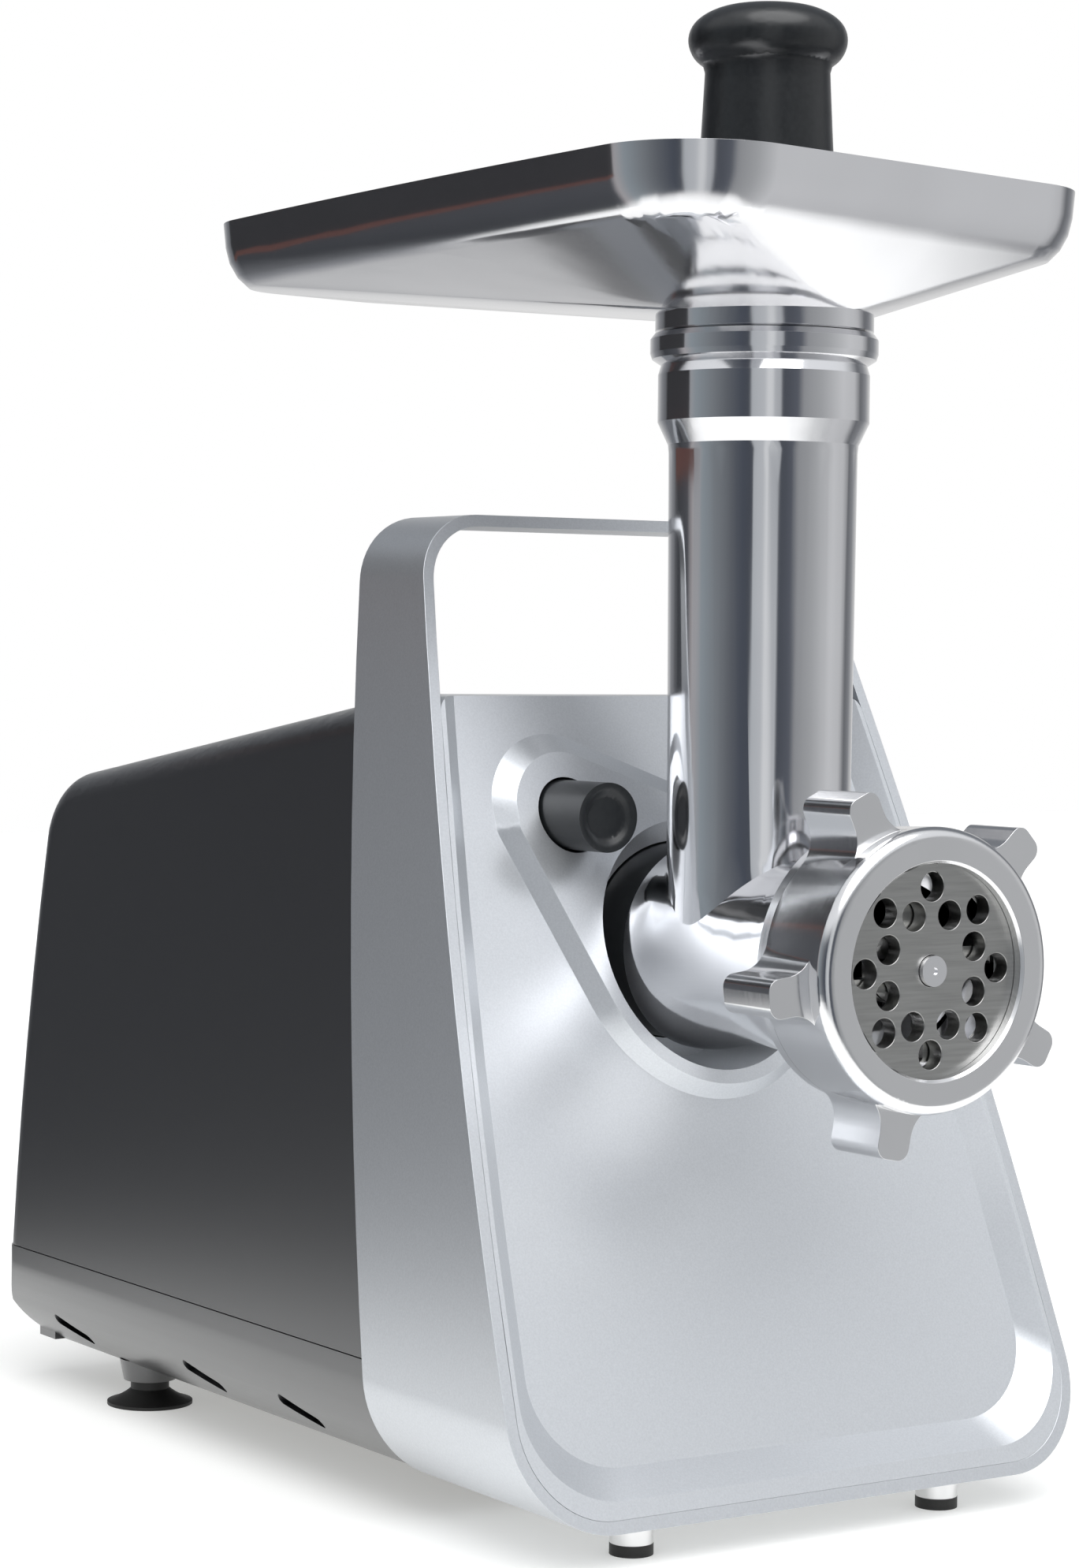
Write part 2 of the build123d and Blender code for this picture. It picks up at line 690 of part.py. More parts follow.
def add_gear(module, teeth, first_angle, start, end, axis):
    points = [(axis[0] + x, axis[1] + z) for x, z in gear_points(module, teeth, first_angle)]
    with BuildSketch(at_y(end)) as section:
        with BuildLine() as outline:
            Polyline(*points, close=True)
        make_face(outline.edges())
    extrude(section.sketch, amount=end - start)


def mesh_angle(driver_angle, driver_teeth, driven_teeth, driver_axis, driven_axis):
    """First-tooth angle that puts the driven gear in mesh with its driver."""
    towards = math.atan2(driven_axis[1] - driver_axis[1], driven_axis[0] - driver_axis[0])
    lead = driver_angle - towards
    return towards + math.pi + math.pi / driven_teeth - lead * driver_teeth / driven_teeth


OUT_GEAR_Y = (-28.0, -17.0)
THIRD_Y = (-29.0, -13.9)
SECOND_WHEEL_Y = (-14.0, -7.0)
FIRST_WHEEL_Y = (-3.2, 3.2)
second_angle_out = mesh_angle(0.0, OUT_TEETH, THIRD_PINION, OUT_AXIS, SECOND_AXIS)
second_angle = 0.0
first_pinion_angle = mesh_angle(
    second_angle, SECOND_TEETH, SECOND_PINION, SECOND_AXIS, FIRST_AXIS
)
motor_angle = mesh_angle(0.0, FIRST_TEETH, MOTOR_PINION, FIRST_AXIS, MOTOR_AXIS)

with BuildPart() as output_gear:
    add_gear(OUT_MODULE, OUT_TEETH, 0.0, OUT_GEAR_Y[0], OUT_GEAR_Y[1], OUT_AXIS)
    for start, end in ((OUT_GEAR_Y[0] - 1, OUT_GEAR_Y[0] + 3), (OUT_GEAR_Y[1] - 3, OUT_GEAR_Y[1] + 1)):
        with BuildSketch(at_y(end)):
            with Locations(OUT_AXIS):
                Circle(27.5)
                Circle(13.5, mode=Mode.SUBTRACT)
        extrude(amount=end - start, mode=Mode.SUBTRACT)
    hole_along_y(9.03, -40, 0)
output_gear.part.label = "output_gear"
export_step(output_gear.part, "parts/output_gear.step")

with BuildPart() as second_gear:
    add_gear(OUT_MODULE, THIRD_PINION, second_angle_out, THIRD_Y[0], THIRD_Y[1], SECOND_AXIS)
    add_gear(
        SECOND_MODULE, SECOND_TEETH, second_angle, SECOND_WHEEL_Y[0], SECOND_WHEEL_Y[1], SECOND_AXIS
    )
    hole_along_y(4.05, -40, 10, *SECOND_AXIS)
second_gear.part.label = "second_gear"
export_step(second_gear.part, "parts/second_gear.step")

with BuildPart() as first_gear:
    add_gear(
        SECOND_MODULE,
        SECOND_PINION,
        first_pinion_angle,
        SECOND_WHEEL_Y[0],
        FIRST_WHEEL_Y[0] + 0.1,
        FIRST_AXIS,
    )
    add_gear(FIRST_MODULE, FIRST_TEETH, 0.0, FIRST_WHEEL_Y[0], FIRST_WHEEL_Y[1], FIRST_AXIS)
    hole_along_y(4.05, -40, 10, *FIRST_AXIS)
first_gear.part.label = "first_gear"
export_step(first_gear.part, "parts/first_gear.step")

with BuildPart() as motor_pinion:
    add_gear(FIRST_MODULE, MOTOR_PINION, motor_angle, -4.0, 4.2, MOTOR_AXIS)
    hole_along_y(2.02, -10, 10, *MOTOR_AXIS)
motor_pinion.part.label = "motor_pinion"
export_step(motor_pinion.part, "parts/motor_pinion.step")

with BuildPart() as gear_axles:
    for axis in (SECOND_AXIS, FIRST_AXIS):
        tube_along_y(4.0, 0, GEARBOX_FRONT + 2.0, GEARBOX_REAR + 3.5, *axis)
gear_axles.part.label = "gear_axles"
export_step(gear_axles.part, "parts/gear_axles.step")

# ---------------------------------------------------------------- output shaft and its bushings
HEX_MALE = 12.0           # across flats of the auger's tail
HEX_FEMALE = 12.12


def hexagon(across_flats):
    RegularPolygon(across_flats / 2, 6, major_radius=False)


with BuildPart() as output_shaft:
    tube_along_y(10.6, 0, -60.0, -43.4)
    tube_along_y(9.0, 0, -43.5, 7.0)
    with BuildSketch(at_y(-48.0)):
        with Locations((0, HEAD_Z)):
            hexagon(HEX_FEMALE)
    extrude(amount=20, mode=Mode.SUBTRACT)
output_shaft.part.label = "output_shaft"
export_step(output_shaft.part, "parts/output_shaft.step")

with BuildPart() as shaft_bushing:
    tube_along_y(12.0, 9.04, GEARBOX_FRONT - 5, GEARBOX_FRONT + 4)
shaft_bushing.part.label = "shaft_bushing"
export_step(shaft_bushing.part, "parts/shaft_bushing.step")

# ---------------------------------------------------------------- motor
STATOR = (36.0, 78.0)
SHAFT_END = 124.0
BRACKET_Y = (112.0, 116.0)
BOLT_X = 31.0
MX, MZ = MOTOR_AXIS

with BuildPart() as stator_core:
    with BuildSketch(at_y(STATOR[1])):
        with Locations(MOTOR_AXIS):
            RectangleRounded(76, 68, 12)
            # two windows between the poles, joined to the rotor bore
            Rectangle(30, 54, mode=Mode.SUBTRACT)
            Circle(21.0, mode=Mode.SUBTRACT)
        for side in (-1, 1):
            with Locations((MX + side * BOLT_X, MZ)):
                Circle(2.6, mode=Mode.SUBTRACT)
    extrude(amount=STATOR[1] - STATOR[0])
stator_core.part.label = "stator_core"
export_step(stator_core.part, "parts/stator_core.step")

with BuildPart() as field_coils:
    for side in (-1, 1):
        with BuildSketch(at_y(STATOR[1] + 4)):
            with Locations((MX, MZ + side * 24.4)):
                Rectangle(26, 4.4)
        extrude(amount=STATOR[1] - STATOR[0] + 8)
        for y in (STATOR[0] - 3.2, STATOR[1] + 3.2):
            with Locations((MX, y, MZ + side * 26.8)):
                Box(40, 5.8, 9.0)
field_coils.part.label = "field_coils"
export_step(field_coils.part, "parts/field_coils.step")

with BuildPart() as rotor_core:
    with BuildSketch(at_y(STATOR[1] - 1)) as lamination:
        with Locations(MOTOR_AXIS):
            Circle(20.4)
        for x, z in ring_points(MX, MZ, 18.2, 12):
            with Locations((x, z)):
                Circle(1.6, mode=Mode.SUBTRACT)
    extrude(amount=STATOR[1] - STATOR[0] - 2)
    hole_along_y(4.02, 20, 90, MX, MZ)
rotor_core.part.label = "rotor_core"
export_step(rotor_core.part, "parts/rotor_core.step")

with BuildPart() as rotor_windings:
    tube_along_y(16.4, 4.1, STATOR[0] - 5.5, STATOR[0] + 0.95, MX, MZ)
    tube_along_y(16.4, 4.1, STATOR[1] - 0.95, STATOR[1] + 5.5, MX, MZ)
rotor_windings.part.label = "rotor_windings"
export_step(rotor_windings.part, "parts/rotor_windings.step")

with BuildPart() as rotor_shaft:
    tube_along_y(4.0, 0, 8.0, SHAFT_END, MX, MZ)
    tube_along_y(2.0, 0, -4.0, 8.1, MX, MZ)
rotor_shaft.part.label = "rotor_shaft"
export_step(rotor_shaft.part, "parts/rotor_shaft.step")

with BuildPart() as commutator:
    tube_along_y(11.5, 4.02, 86.0, 101.0, MX, MZ)
    for k in range(24):
        angle = 15 * k
        with BuildSketch(at_y(98.0)) as slot:
            with Locations(Location((MX, MZ, 0), (0, 0, angle))):
                with Locations((11.4, 0)):
                    Rectangle(1.4, 0.5)
        extrude(amount=12.5, mode=Mode.SUBTRACT)
commutator.part.label = "commutator"
export_step(commutator.part, "parts/commutator.step")

with BuildPart() as cooling_fan:
    tube_along_y(7.0, 4.02, 21.5, 29.0, MX, MZ)
    tube_along_y(25.5, 6.5, 27.4, 29.0, MX, MZ)
    for k in range(11):
        with BuildSketch(at_y(28.0)):
            with Locations(Location((MX, MZ, 0), (0, 0, 360 * k / 11))):
                with Locations((15.7, 0)):
                    Rectangle(18.8, 1.4)
        extrude(amount=6.0)
cooling_fan.part.label = "cooling_fan"
export_step(cooling_fan.part, "parts/cooling_fan.step")

with BuildPart() as motor_bearings:
    tube_along_y(8.5, 4.04, MOTOR_BEARING[0], MOTOR_BEARING[1], MX, MZ)
    tube_along_y(8.5, 4.04, 113.0, 119.0, MX, MZ)
motor_bearings.part.label = "motor_bearings"
export_step(motor_bearings.part, "parts/motor_bearings.step")

with BuildPart() as motor_bracket:
    with BuildSketch(at_y(BRACKET_Y[1])):
        with Locations(MOTOR_AXIS):
            SlotCenterToCenter(2 * BOLT_X, 22)
            RectangleRounded(14, 60, 3)
    extrude(amount=BRACKET_Y[1] - BRACKET_Y[0])
    tube_along_y(12.0, 0, BRACKET_Y[0] + 1, 120.0, MX, MZ)
    hole_along_y(8.52, 110, 119.05, MX, MZ)
    hole_along_y(4.6, 110, 125, MX, MZ)
    for side in (-1, 1):
        hole_along_y(2.1, 105, 125, MX + side * BOLT_X, MZ)
        tube_along_y(5.0, 2.1, STATOR[1] + 0.05, BRACKET_Y[0] + 0.5, MX + side * BOLT_X, MZ)
motor_bracket.part.label = "motor_bracket"
export_step(motor_bracket.part, "parts/motor_bracket.step")

with BuildPart() as motor_bolts:
    for side in (-1, 1):
        x = MX + side * BOLT_X
        tube_along_y(2.0, 0, GEARBOX_REAR + 4.0, BRACKET_Y[1] + 0.3, x, MZ)
        tube_along_y(3.6, 0, BRACKET_Y[1] + 0.1, BRACKET_Y[1] + 3.0, x, MZ)
        tube_along_y(4.2, 0, GEARBOX_REAR + COVER_WALL + 0.1, STATOR[0] - 0.05, x, MZ)
motor_bolts.part.label = "motor_bolts"
export_step(motor_bolts.part, "parts/motor_bolts.step")

with BuildPart() as brush_holders:
    for side in (-1, 1):
        with Locations((MX, 93.5, MZ + side * 23.0)):
            Box(10, 11, 16)
            Box(5.2, 6.2, 18, mode=Mode.SUBTRACT)
        with Locations((MX, 105.4, MZ + side * 24.0)):
            Box(4, 13.1, 8)
brush_holders.part.label = "brush_holders"
export_step(brush_holders.part, "parts/brush_holders.step")

with BuildPart() as carbon_brushes:
    for side in (-1, 1):
        with Locations((MX, 93.5, MZ + side * 19.4)):
            Box(5, 6, 15)
carbon_brushes.part.label = "carbon_brushes"
export_step(carbon_brushes.part, "parts/carbon_brushes.step")

# ---------------------------------------------------------------- switch, circuit board, cord gland
ROCKER_AXIS_X = 79.5

with BuildPart() as switch_body:
    with Locations((75.5, SWITCH_Y, SWITCH_Z)):
        Box(16, 21.6, 27.6)
    with BuildSketch(Plane(origin=(83.3, SWITCH_Y, SWITCH_Z), x_dir=(0, 1, 0), z_dir=(1, 0, 0))):
        RectangleRounded(26, 32, 2.5)
    extrude(amount=1.6)
    with Locations((81.5, SWITCH_Y, SWITCH_Z)):
        Box(12, 16.4, 22.4, mode=Mode.SUBTRACT)
    for y in (-5, 5):
        with Locations((65.5, SWITCH_Y + y, SWITCH_Z)):
            Box(6, 0.8, 4.8)
switch_body.part.label = "switch_body"
export_step(switch_body.part, "parts/switch_body.step")

with BuildPart() as rocker:
    side_view = Plane(origin=(0, SWITCH_Y + 7.6, 0), x_dir=(1, 0, 0), z_dir=(0, -1, 0))
    with BuildSketch(side_view):
        with BuildLine():
            Polyline(
                (77.0, SWITCH_Z - 9.4),
                (85.0, SWITCH_Z - 10.2),
                (83.6, SWITCH_Z),
                (85.0, SWITCH_Z + 10.2),
                (77.0, SWITCH_Z + 9.4),
                close=True,
            )
        make_face()
    extrude(amount=15.2)
rocker.part.label = "rocker"
export_step(rocker.part, "parts/rocker.step")

with BuildPart() as circuit_board:
    with Locations((0, 94, 20.9)):
        Box(58, 70, 1.6)
    for x, y, wide, deep, tall in ((-12, 80, 14, 18, 12), (10, 84, 10, 10, 16), (8, 108, 18, 12, 9)):
        with Locations((x, y, 21.65 + tall / 2)):
            Box(wide, deep, tall)
    for x in (-24, 24):
        for y in (66, 122):
            with BuildSketch(Plane.XY.offset(15)):
                with Locations((x, y)):
                    Circle(1.5)
            extrude(amount=12, mode=Mode.SUBTRACT)
circuit_board.part.label = "circuit_board"
export_step(circuit_board.part, "parts/circuit_board.step")

with BuildPart() as board_screws:
    for x in (-24, 24):
        for y in (66, 122):
            with BuildSketch(Plane.XY.offset(15.5)):
                with Locations((x, y)):
                    Circle(1.25)
            extrude(amount=6.4)
            with BuildSketch(Plane.XY.offset(21.75)):
                with Locations((x, y)):
                    Circle(2.4)
            extrude(amount=1.6)
board_screws.part.label = "board_screws"
export_step(board_screws.part, "parts/board_screws.step")

with BuildPart() as base_screws:
    for side in (-1, 1):
        for y in SCREW_ROWS:
            with BuildSketch(Plane.XY.offset(15.9)):
                with Locations((side * SCREW_X, y)):
                    Circle(1.85)
            extrude(amount=38)
            with BuildSketch(Plane.XY.offset(13.6)):
                with Locations((side * SCREW_X, y)):
                    Circle(3.5)
            extrude(amount=2.35)
base_screws.part.label = "base_screws"
export_step(base_screws.part, "parts/base_screws.step")

CORD_RADIUS = 3.4

with BuildPart() as cord_gland:
    tube_along_y(6.4, 0, BODY_REAR - 9, BODY_REAR - 0.1, -40, 26)
    tube_along_y(8.4, 0, BODY_REAR + 0.1, BODY_REAR + 2.0, -40, 26)
    tube_along_y(6.4, 0, BODY_REAR - 0.3, BODY_REAR + 0.3, -40, 26)
    hole_along_y(CORD_RADIUS, BODY_REAR - 12, BODY_REAR + 6, -40, 26)
cord_gland.part.label = "cord_gland"
export_step(cord_gland.part, "parts/cord_gland.step")

# ---------------------------------------------------------------- grinding head casting
HEAD_AXIS = Axis((0, 0, HEAD_Z), (0, 1, 0))
TUBE_AXIS = Axis((0, TUBE_Y, 0), (0, 0, 1))
BORE = 20.2               # radius of the auger's chamber
MOUTH_Y = -158.5
PLATE_FRONT, PLATE_BACK = -160.2, -155.7
THREAD = 28.9
TUBE_TOP = 291.3
HEAD_TURN = 30.0          # degrees from locked to free


def side_point(y, radius):
    """A point of a profile that is turned about the head's axis."""
    return (y, HEAD_Z + radius)


with BuildPart() as head_body:
    with BuildSketch(Plane.YZ):
        with BuildLine():
            Polyline(
                side_point(-56.0, 0),
                side_point(-56.0, 20.2),
                side_point(-73.4, 20.2),
                side_point(-73.4, 26.3),
                side_point(-75.0, 26.3),
            )
            Spline(
                side_point(-75.0, 26.3),
                side_point(-84.0, 24.9),
                side_point(-94.0, 23.4),
                side_point(-108.0, 23.4),
                side_point(-122.0, 24.8),
                side_point(-136.0, 26.6),
                tangents=[(-1, 0), (-1, 0.1)],
            )
            Polyline(
                side_point(-136.0, 26.6),
                side_point(-137.5, THREAD),
                side_point(MOUTH_Y + 0.8, THREAD),
                side_point(MOUTH_Y, THREAD - 0.8),
                side_point(MOUTH_Y, 0),
                side_point(-56.0, 0),
            )
        make_face()
    revolve(axis=HEAD_AXIS)
    # feed tube with its two collars
    with BuildSketch(Plane(origin=(0, TUBE_Y, 0), x_dir=(1, 0, 0), z_dir=(0, -1, 0))):
        with BuildLine():
            Polyline(
                (0, HEAD_Z),
                (22.3, HEAD_Z),
                (23.1, 262.0),
                (23.3, 264.0),
                (25.9, 269.5),
                (25.9, 281.0),
                (25.2, 283.4),
                (27.4, 284.8),
                (27.9, 286.2),
                (27.9, 289.6),
                (26.9, 291.0),
                (26.0, TUBE_TOP),
                (0, TUBE_TOP),
                close=True,
            )
        make_face()
    revolve(axis=TUBE_AXIS)
    # the tube stops short of the drum
    with BuildSketch(at_y(-60)):
        with Locations((0, HEAD_Z)):
            Circle(26.4)
            Circle(20.2, mode=Mode.SUBTRACT)
    extrude(amount=13.4, mode=Mode.SUBTRACT)
    # hollow it out
    with BuildSketch(Plane.XY.offset(HEAD_Z)):
        with Locations((0, TUBE_Y)):
            Circle(20.0)
    extrude(amount=160, mode=Mode.SUBTRACT)
    with BuildSketch(Plane.XY.offset(280.6)):
        with Locations((0, TUBE_Y)):
            Circle(24.5)
    extrude(amount=20, mode=Mode.SUBTRACT)
    hole_along_y(BORE, -150, -75)
    hole_along_y(22.6, PLATE_BACK - 1, -147.0)
    hole_along_y(26.85, MOUTH_Y - 1, PLATE_BACK)
    hole_along_y(9.6, -76, -60)
    hole_along_y(11.4, -61, -50)
    # key that stops the plate turning
    with Locations((0, -157.1, HEAD_Z + 26.2)):
        Box(3.0, 2.6, 2.2)
    # bayonet tabs and the arc groove for the catch pin
    for middle in (30, 150, 270):
        wedge_ring(21.6, 19.5, -64.1, -60.2, middle, TAB_SPAN)
    groove_middle = math.degrees(button_angle) + HEAD_TURN / 2
    groove_span = HEAD_TURN + 14
    wedge_ring(
        PIN_RADIUS + 1.75, PIN_RADIUS - 1.9, -60.4, -55.0, groove_middle, groove_span, Mode.SUBTRACT
    )
head_body.part.label = "head_body"
export_step(head_body.part, "parts/head_body.step")

with BuildPart() as head_bushing:
    tube_along_y(9.55, 7.05, -75.0, -61.2)
head_bushing.part.label = "head_bushing"
export_step(head_bushing.part, "parts/head_bushing.step")

# ---------------------------------------------------------------- auger, washer, knife, plate
FLIGHT_START, FLIGHT_END = -79.0, -146.2
FLIGHT_PITCH = 21.0

with BuildPart() as auger_flight:
    with BuildLine() as flight_path:
        Helix(
            pitch=FLIGHT_PITCH,
            height=FLIGHT_START - FLIGHT_END,
            radius=12.0,
            center=(0, FLIGHT_START, HEAD_Z),
            direction=(0, -1, 0),
        )
    flight_edge = flight_path.edges()[0]
    spoke = (flight_edge @ 0) - Vector(0, FLIGHT_START, HEAD_Z)
    with BuildSketch(Plane(origin=flight_edge @ 0, x_dir=spoke, z_dir=flight_edge % 0)) as blade:
        with Locations((0.6, 0)):
            Rectangle(13.6, 3.2)
    sweep(blade.sketch, path=flight_edge, is_frenet=True)

with BuildPart() as auger:
    for y, radius in ((-76.4, 9.5), (-147.6, 10.5)):
        with BuildSketch(at_y(y)):
            with Locations((0, HEAD_Z)):
                Circle(radius)
    loft(ruled=True)
    add(auger_flight.part)
    # journal and hexagonal tail
    tube_along_y(7.0, 0, -76.5, -60.2)
    with BuildSketch(at_y(-49.0)):
        with Locations((0, HEAD_Z)):
            hexagon(HEX_MALE)
    extrude(amount=11.3)
    # square for the knife and the pin that shows in the plate
    with BuildSketch(at_y(-147.5)):
        with Locations((0, HEAD_Z)):
            Rectangle(9.0, 9.0)
    extrude(amount=8.0)
    tube_along_y(3.6, 0, -161.4, -155.4)
    hole_along_y(0.9, -162, -160.9)
auger.part.label = "auger"
export_step(auger.part, "parts/auger.step")

with BuildPart() as auger_washer:
    tube_along_y(12.5, 7.1, -76.3, -75.1)
auger_washer.part.label = "auger_washer"
export_step(auger_washer.part, "parts/auger_washer.step")

KNIFE_FRONT = -155.4

with BuildPart() as knife:
    tube_along_y(8.6, 0, KNIFE_FRONT, -148.0)
    for angle in (0, 90, 180, 270):
        with BuildSketch(at_y(KNIFE_FRONT)) as wide:
            with Locations(Location((0, HEAD_Z, 0), (0, 0, angle))):
                with Locations((11.6, 1.2)):
                    RectangleRounded(20.0, 7.4, 1.2)
        with BuildSketch(at_y(-151.0)) as narrow:
            with Locations(Location((0, HEAD_Z, 0), (0, 0, angle))):
                with Locations((11.6, -0.4)):
                    RectangleRounded(20.0, 4.2, 1.2)
        loft([wide.sketch.face(), narrow.sketch.face()], ruled=True)
    with BuildSketch(at_y(-147.0)):
        with Locations((0, HEAD_Z)):
            Rectangle(9.12, 9.12)
    extrude(amount=10, mode=Mode.SUBTRACT)
knife.part.label = "knife"
export_step(knife.part, "parts/knife.step")

HOLE = 3.4

with BuildPart() as cutting_plate:
    tube_along_y(26.7, 3.68, PLATE_FRONT, PLATE_BACK)
    for x, z in ring_points(0, HEAD_Z, 19.45, 8):
        hole_along_y(HOLE, PLATE_FRONT - 1, PLATE_BACK + 1, x, z)
    for x, z in ring_points(0, HEAD_Z, 13.75, 8, math.radians(22.5)):
        hole_along_y(HOLE, PLATE_FRONT - 1, PLATE_BACK + 1, x, z)
    with Locations((0, -158.0, HEAD_Z + 26.2)):
        Box(3.3, 8.0, 2.6, mode=Mode.SUBTRACT)
cutting_plate.part.label = "cutting_plate"
export_step(cutting_plate.part, "parts/cutting_plate.step")

# ---------------------------------------------------------------- ring nut with five lugs
RING_FRONT, RING_REAR = -163.0, -136.4
LUG_TIP = 44.5
LUG_HALF = 4.6
LUG_COUNT = 5
LUG_FIRST = 115.0

def reach(vertex):
    return math.hypot(vertex.X, vertex.Y - HEAD_Z)


with BuildPart() as ring_nut:
    with BuildSketch(Plane.YZ):
        with BuildLine():
            Line(side_point(RING_REAR, THREAD + 0.1), side_point(RING_REAR, 32.4))
            Line(side_point(RING_REAR, 32.4), side_point(RING_FRONT + 3.0, 33.4))
            ThreePointArc(
                side_point(RING_FRONT + 3.0, 33.4),
                side_point(RING_FRONT + 0.85, 32.5),
                side_point(RING_FRONT, 30.4),
            )
            Polyline(
                side_point(RING_FRONT, 30.4),
                side_point(RING_FRONT, 25.7),
                side_point(RING_FRONT + 0.7, 25.0),
                side_point(PLATE_FRONT - 0.1, 25.0),
                side_point(PLATE_FRONT - 0.1, THREAD + 0.1),
                side_point(RING_REAR, THREAD + 0.1),
            )
        make_face()
    revolve(axis=HEAD_AXIS)
    with BuildSketch(at_y(-139.5)) as lugs:
        with Locations((0, HEAD_Z)):
            Circle(32.6)
        for k in range(LUG_COUNT):
            with Locations(Location((0, HEAD_Z, 0), (0, 0, LUG_FIRST + 360 * k / LUG_COUNT))):
                with Locations((LUG_TIP / 2 + 10, 0)):
                    Rectangle(LUG_TIP - 20, 2 * LUG_HALF)
        fillet([v for v in lugs.vertices() if reach(v) < 34], 8.0)
        fillet([v for v in lugs.vertices() if reach(v) > 44], 3.0)
        with Locations((0, HEAD_Z)):
            Circle(30.2, mode=Mode.SUBTRACT)
    extrude(amount=17.5)
ring_nut.part.label = "ring_nut"
export_step(ring_nut.part, "parts/ring_nut.step")

# ---------------------------------------------------------------- feed tray
TRAY_TURN = 9.5           # the tray stands turned on its neck
TRAY_TOP = 328.0
TRAY_FRONT, TRAY_BACK = 49.8, 177.9
TRAY_HALF_FRONT, TRAY_HALF_BACK = 78.1, 36.7
TRAY_CORNER = 26.2
TRAY_BOW = 3.0
NECK = 26.7


def tray_plane(z):
    turn = math.radians(TRAY_TURN)
    return Plane(
        origin=(0, TUBE_Y, z), x_dir=(math.cos(turn), math.sin(turn), 0), z_dir=(0, 0, 1)
    )


def tray_face(sketch, inset):
    front = TRAY_HALF_FRONT - inset * 1.1
    back = TRAY_HALF_BACK - inset * 0.9
    middle = (front + back) / 2 + TRAY_BOW
    low, high = -TRAY_FRONT + inset, TRAY_BACK - inset
    with BuildLine() as outline:
        Line((-front, low), (front, low))
        ThreePointArc((front, low), (middle, (low + high) / 2), (back, high))
        Line((back, high), (-back, high))
        ThreePointArc((-back, high), (-middle, (low + high) / 2), (-front, low))
    make_face(outline.edges())
    fillet(sketch.vertices(), TRAY_CORNER - inset)


def neck_face(sketch, radius):
    """Nearly a circle, made of the same eight edges as the tray's outline."""
    half = radius + 0.1
    with BuildLine() as outline:
        Line((-half, -half), (half, -half))
        ThreePointArc((half, -half), (half + 0.02, 0), (half, half))
        Line((half, half), (-half, half))
        ThreePointArc((-half, half), (-half - 0.02, 0), (-half, -half))
    make_face(outline.edges())
    fillet(sketch.vertices(), radius)


def tray_loft(rows, neck_radius, neck_z, mode):
    faces = []
    with BuildSketch(tray_plane(neck_z)) as neck_sketch:
        neck_face(neck_sketch, neck_radius)
    faces.append(neck_sketch.sketch.face())
    for z, inset in rows:
        with BuildSketch(tray_plane(z)) as row_sketch:
            tray_face(row_sketch, inset)
        faces.append(row_sketch.sketch.face())
    loft(faces, ruled=True, mode=mode)


with BuildPart() as feed_tray:
    tray_loft(
        ((311.0, 6.5), (313.8, 3.6), (317.4, 1.6), (321.5, 0.6), (TRAY_TOP, 0.0)),
        NECK - 0.7,
        295.5,
        Mode.ADD,
    )
    tray_loft(
        ((312.2, 7.6), (314.9, 4.9), (318.1, 3.0), (321.9, 2.0), (TRAY_TOP + 0.4, 1.3)),
        22.3,
        295.3,
        Mode.SUBTRACT,
    )
    with BuildSketch(Plane(origin=(0, TUBE_Y, 0), x_dir=(1, 0, 0), z_dir=(0, -1, 0))):
        with BuildLine():
            Polyline(
                (22.6, 281.4),
                (24.4, 281.4),
                (24.4, 291.6),
                (NECK, 291.6),
                (NECK, 296.2),
                (22.6, 296.2),
                close=True,
            )
        make_face()
    revolve(axis=TUBE_AXIS)
feed_tray.part.label = "feed_tray"
export_step(feed_tray.part, "parts/feed_tray.step")

# ---------------------------------------------------------------- pusher
PUSHER_FOOT = 160.2       # it stands just clear of the auger

with BuildPart() as pusher:
    with BuildSketch(Plane(origin=(0, TUBE_Y, 0), x_dir=(1, 0, 0), z_dir=(0, -1, 0))):
        with BuildLine():
            Polyline((0, 370.6), (7.0, 370.6))
            Spline(
                (7.0, 370.6),
                (14.5, 369.0),
                (18.6, 365.6),
                (19.4, 361.8),
                (18.2, 358.6),
                (15.8, 356.4),
                tangents=[(1, 0), (-1, -0.7)],
            )
            Polyline(
                (15.8, 356.4),
                (15.3, 354.6),
                (16.2, 337.0),
                (18.6, 300.0),
                (19.3, 286.0),
                (19.3, PUSHER_FOOT + 1.2),
                (18.1, PUSHER_FOOT),
                (0, PUSHER_FOOT),
                (0, 370.6),
            )
        make_face()
    revolve(axis=TUBE_AXIS)
    # hollow inside, closed at both ends
    with BuildSketch(Plane(origin=(0, TUBE_Y, 0), x_dir=(1, 0, 0), z_dir=(0, -1, 0))):
        with BuildLine():
            Polyline(
                (0, PUSHER_FOOT + 3),
                (16.9, PUSHER_FOOT + 3),
                (16.9, 284.0),
                (12.8, 350.0),
                (0, 350.0),
                close=True,
            )
        make_face()
    revolve(axis=TUBE_AXIS, mode=Mode.SUBTRACT)
pusher.part.label = "pusher"
export_step(pusher.part, "parts/pusher.step")
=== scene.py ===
import json
import math

import bpy
from mathutils import Matrix, Vector

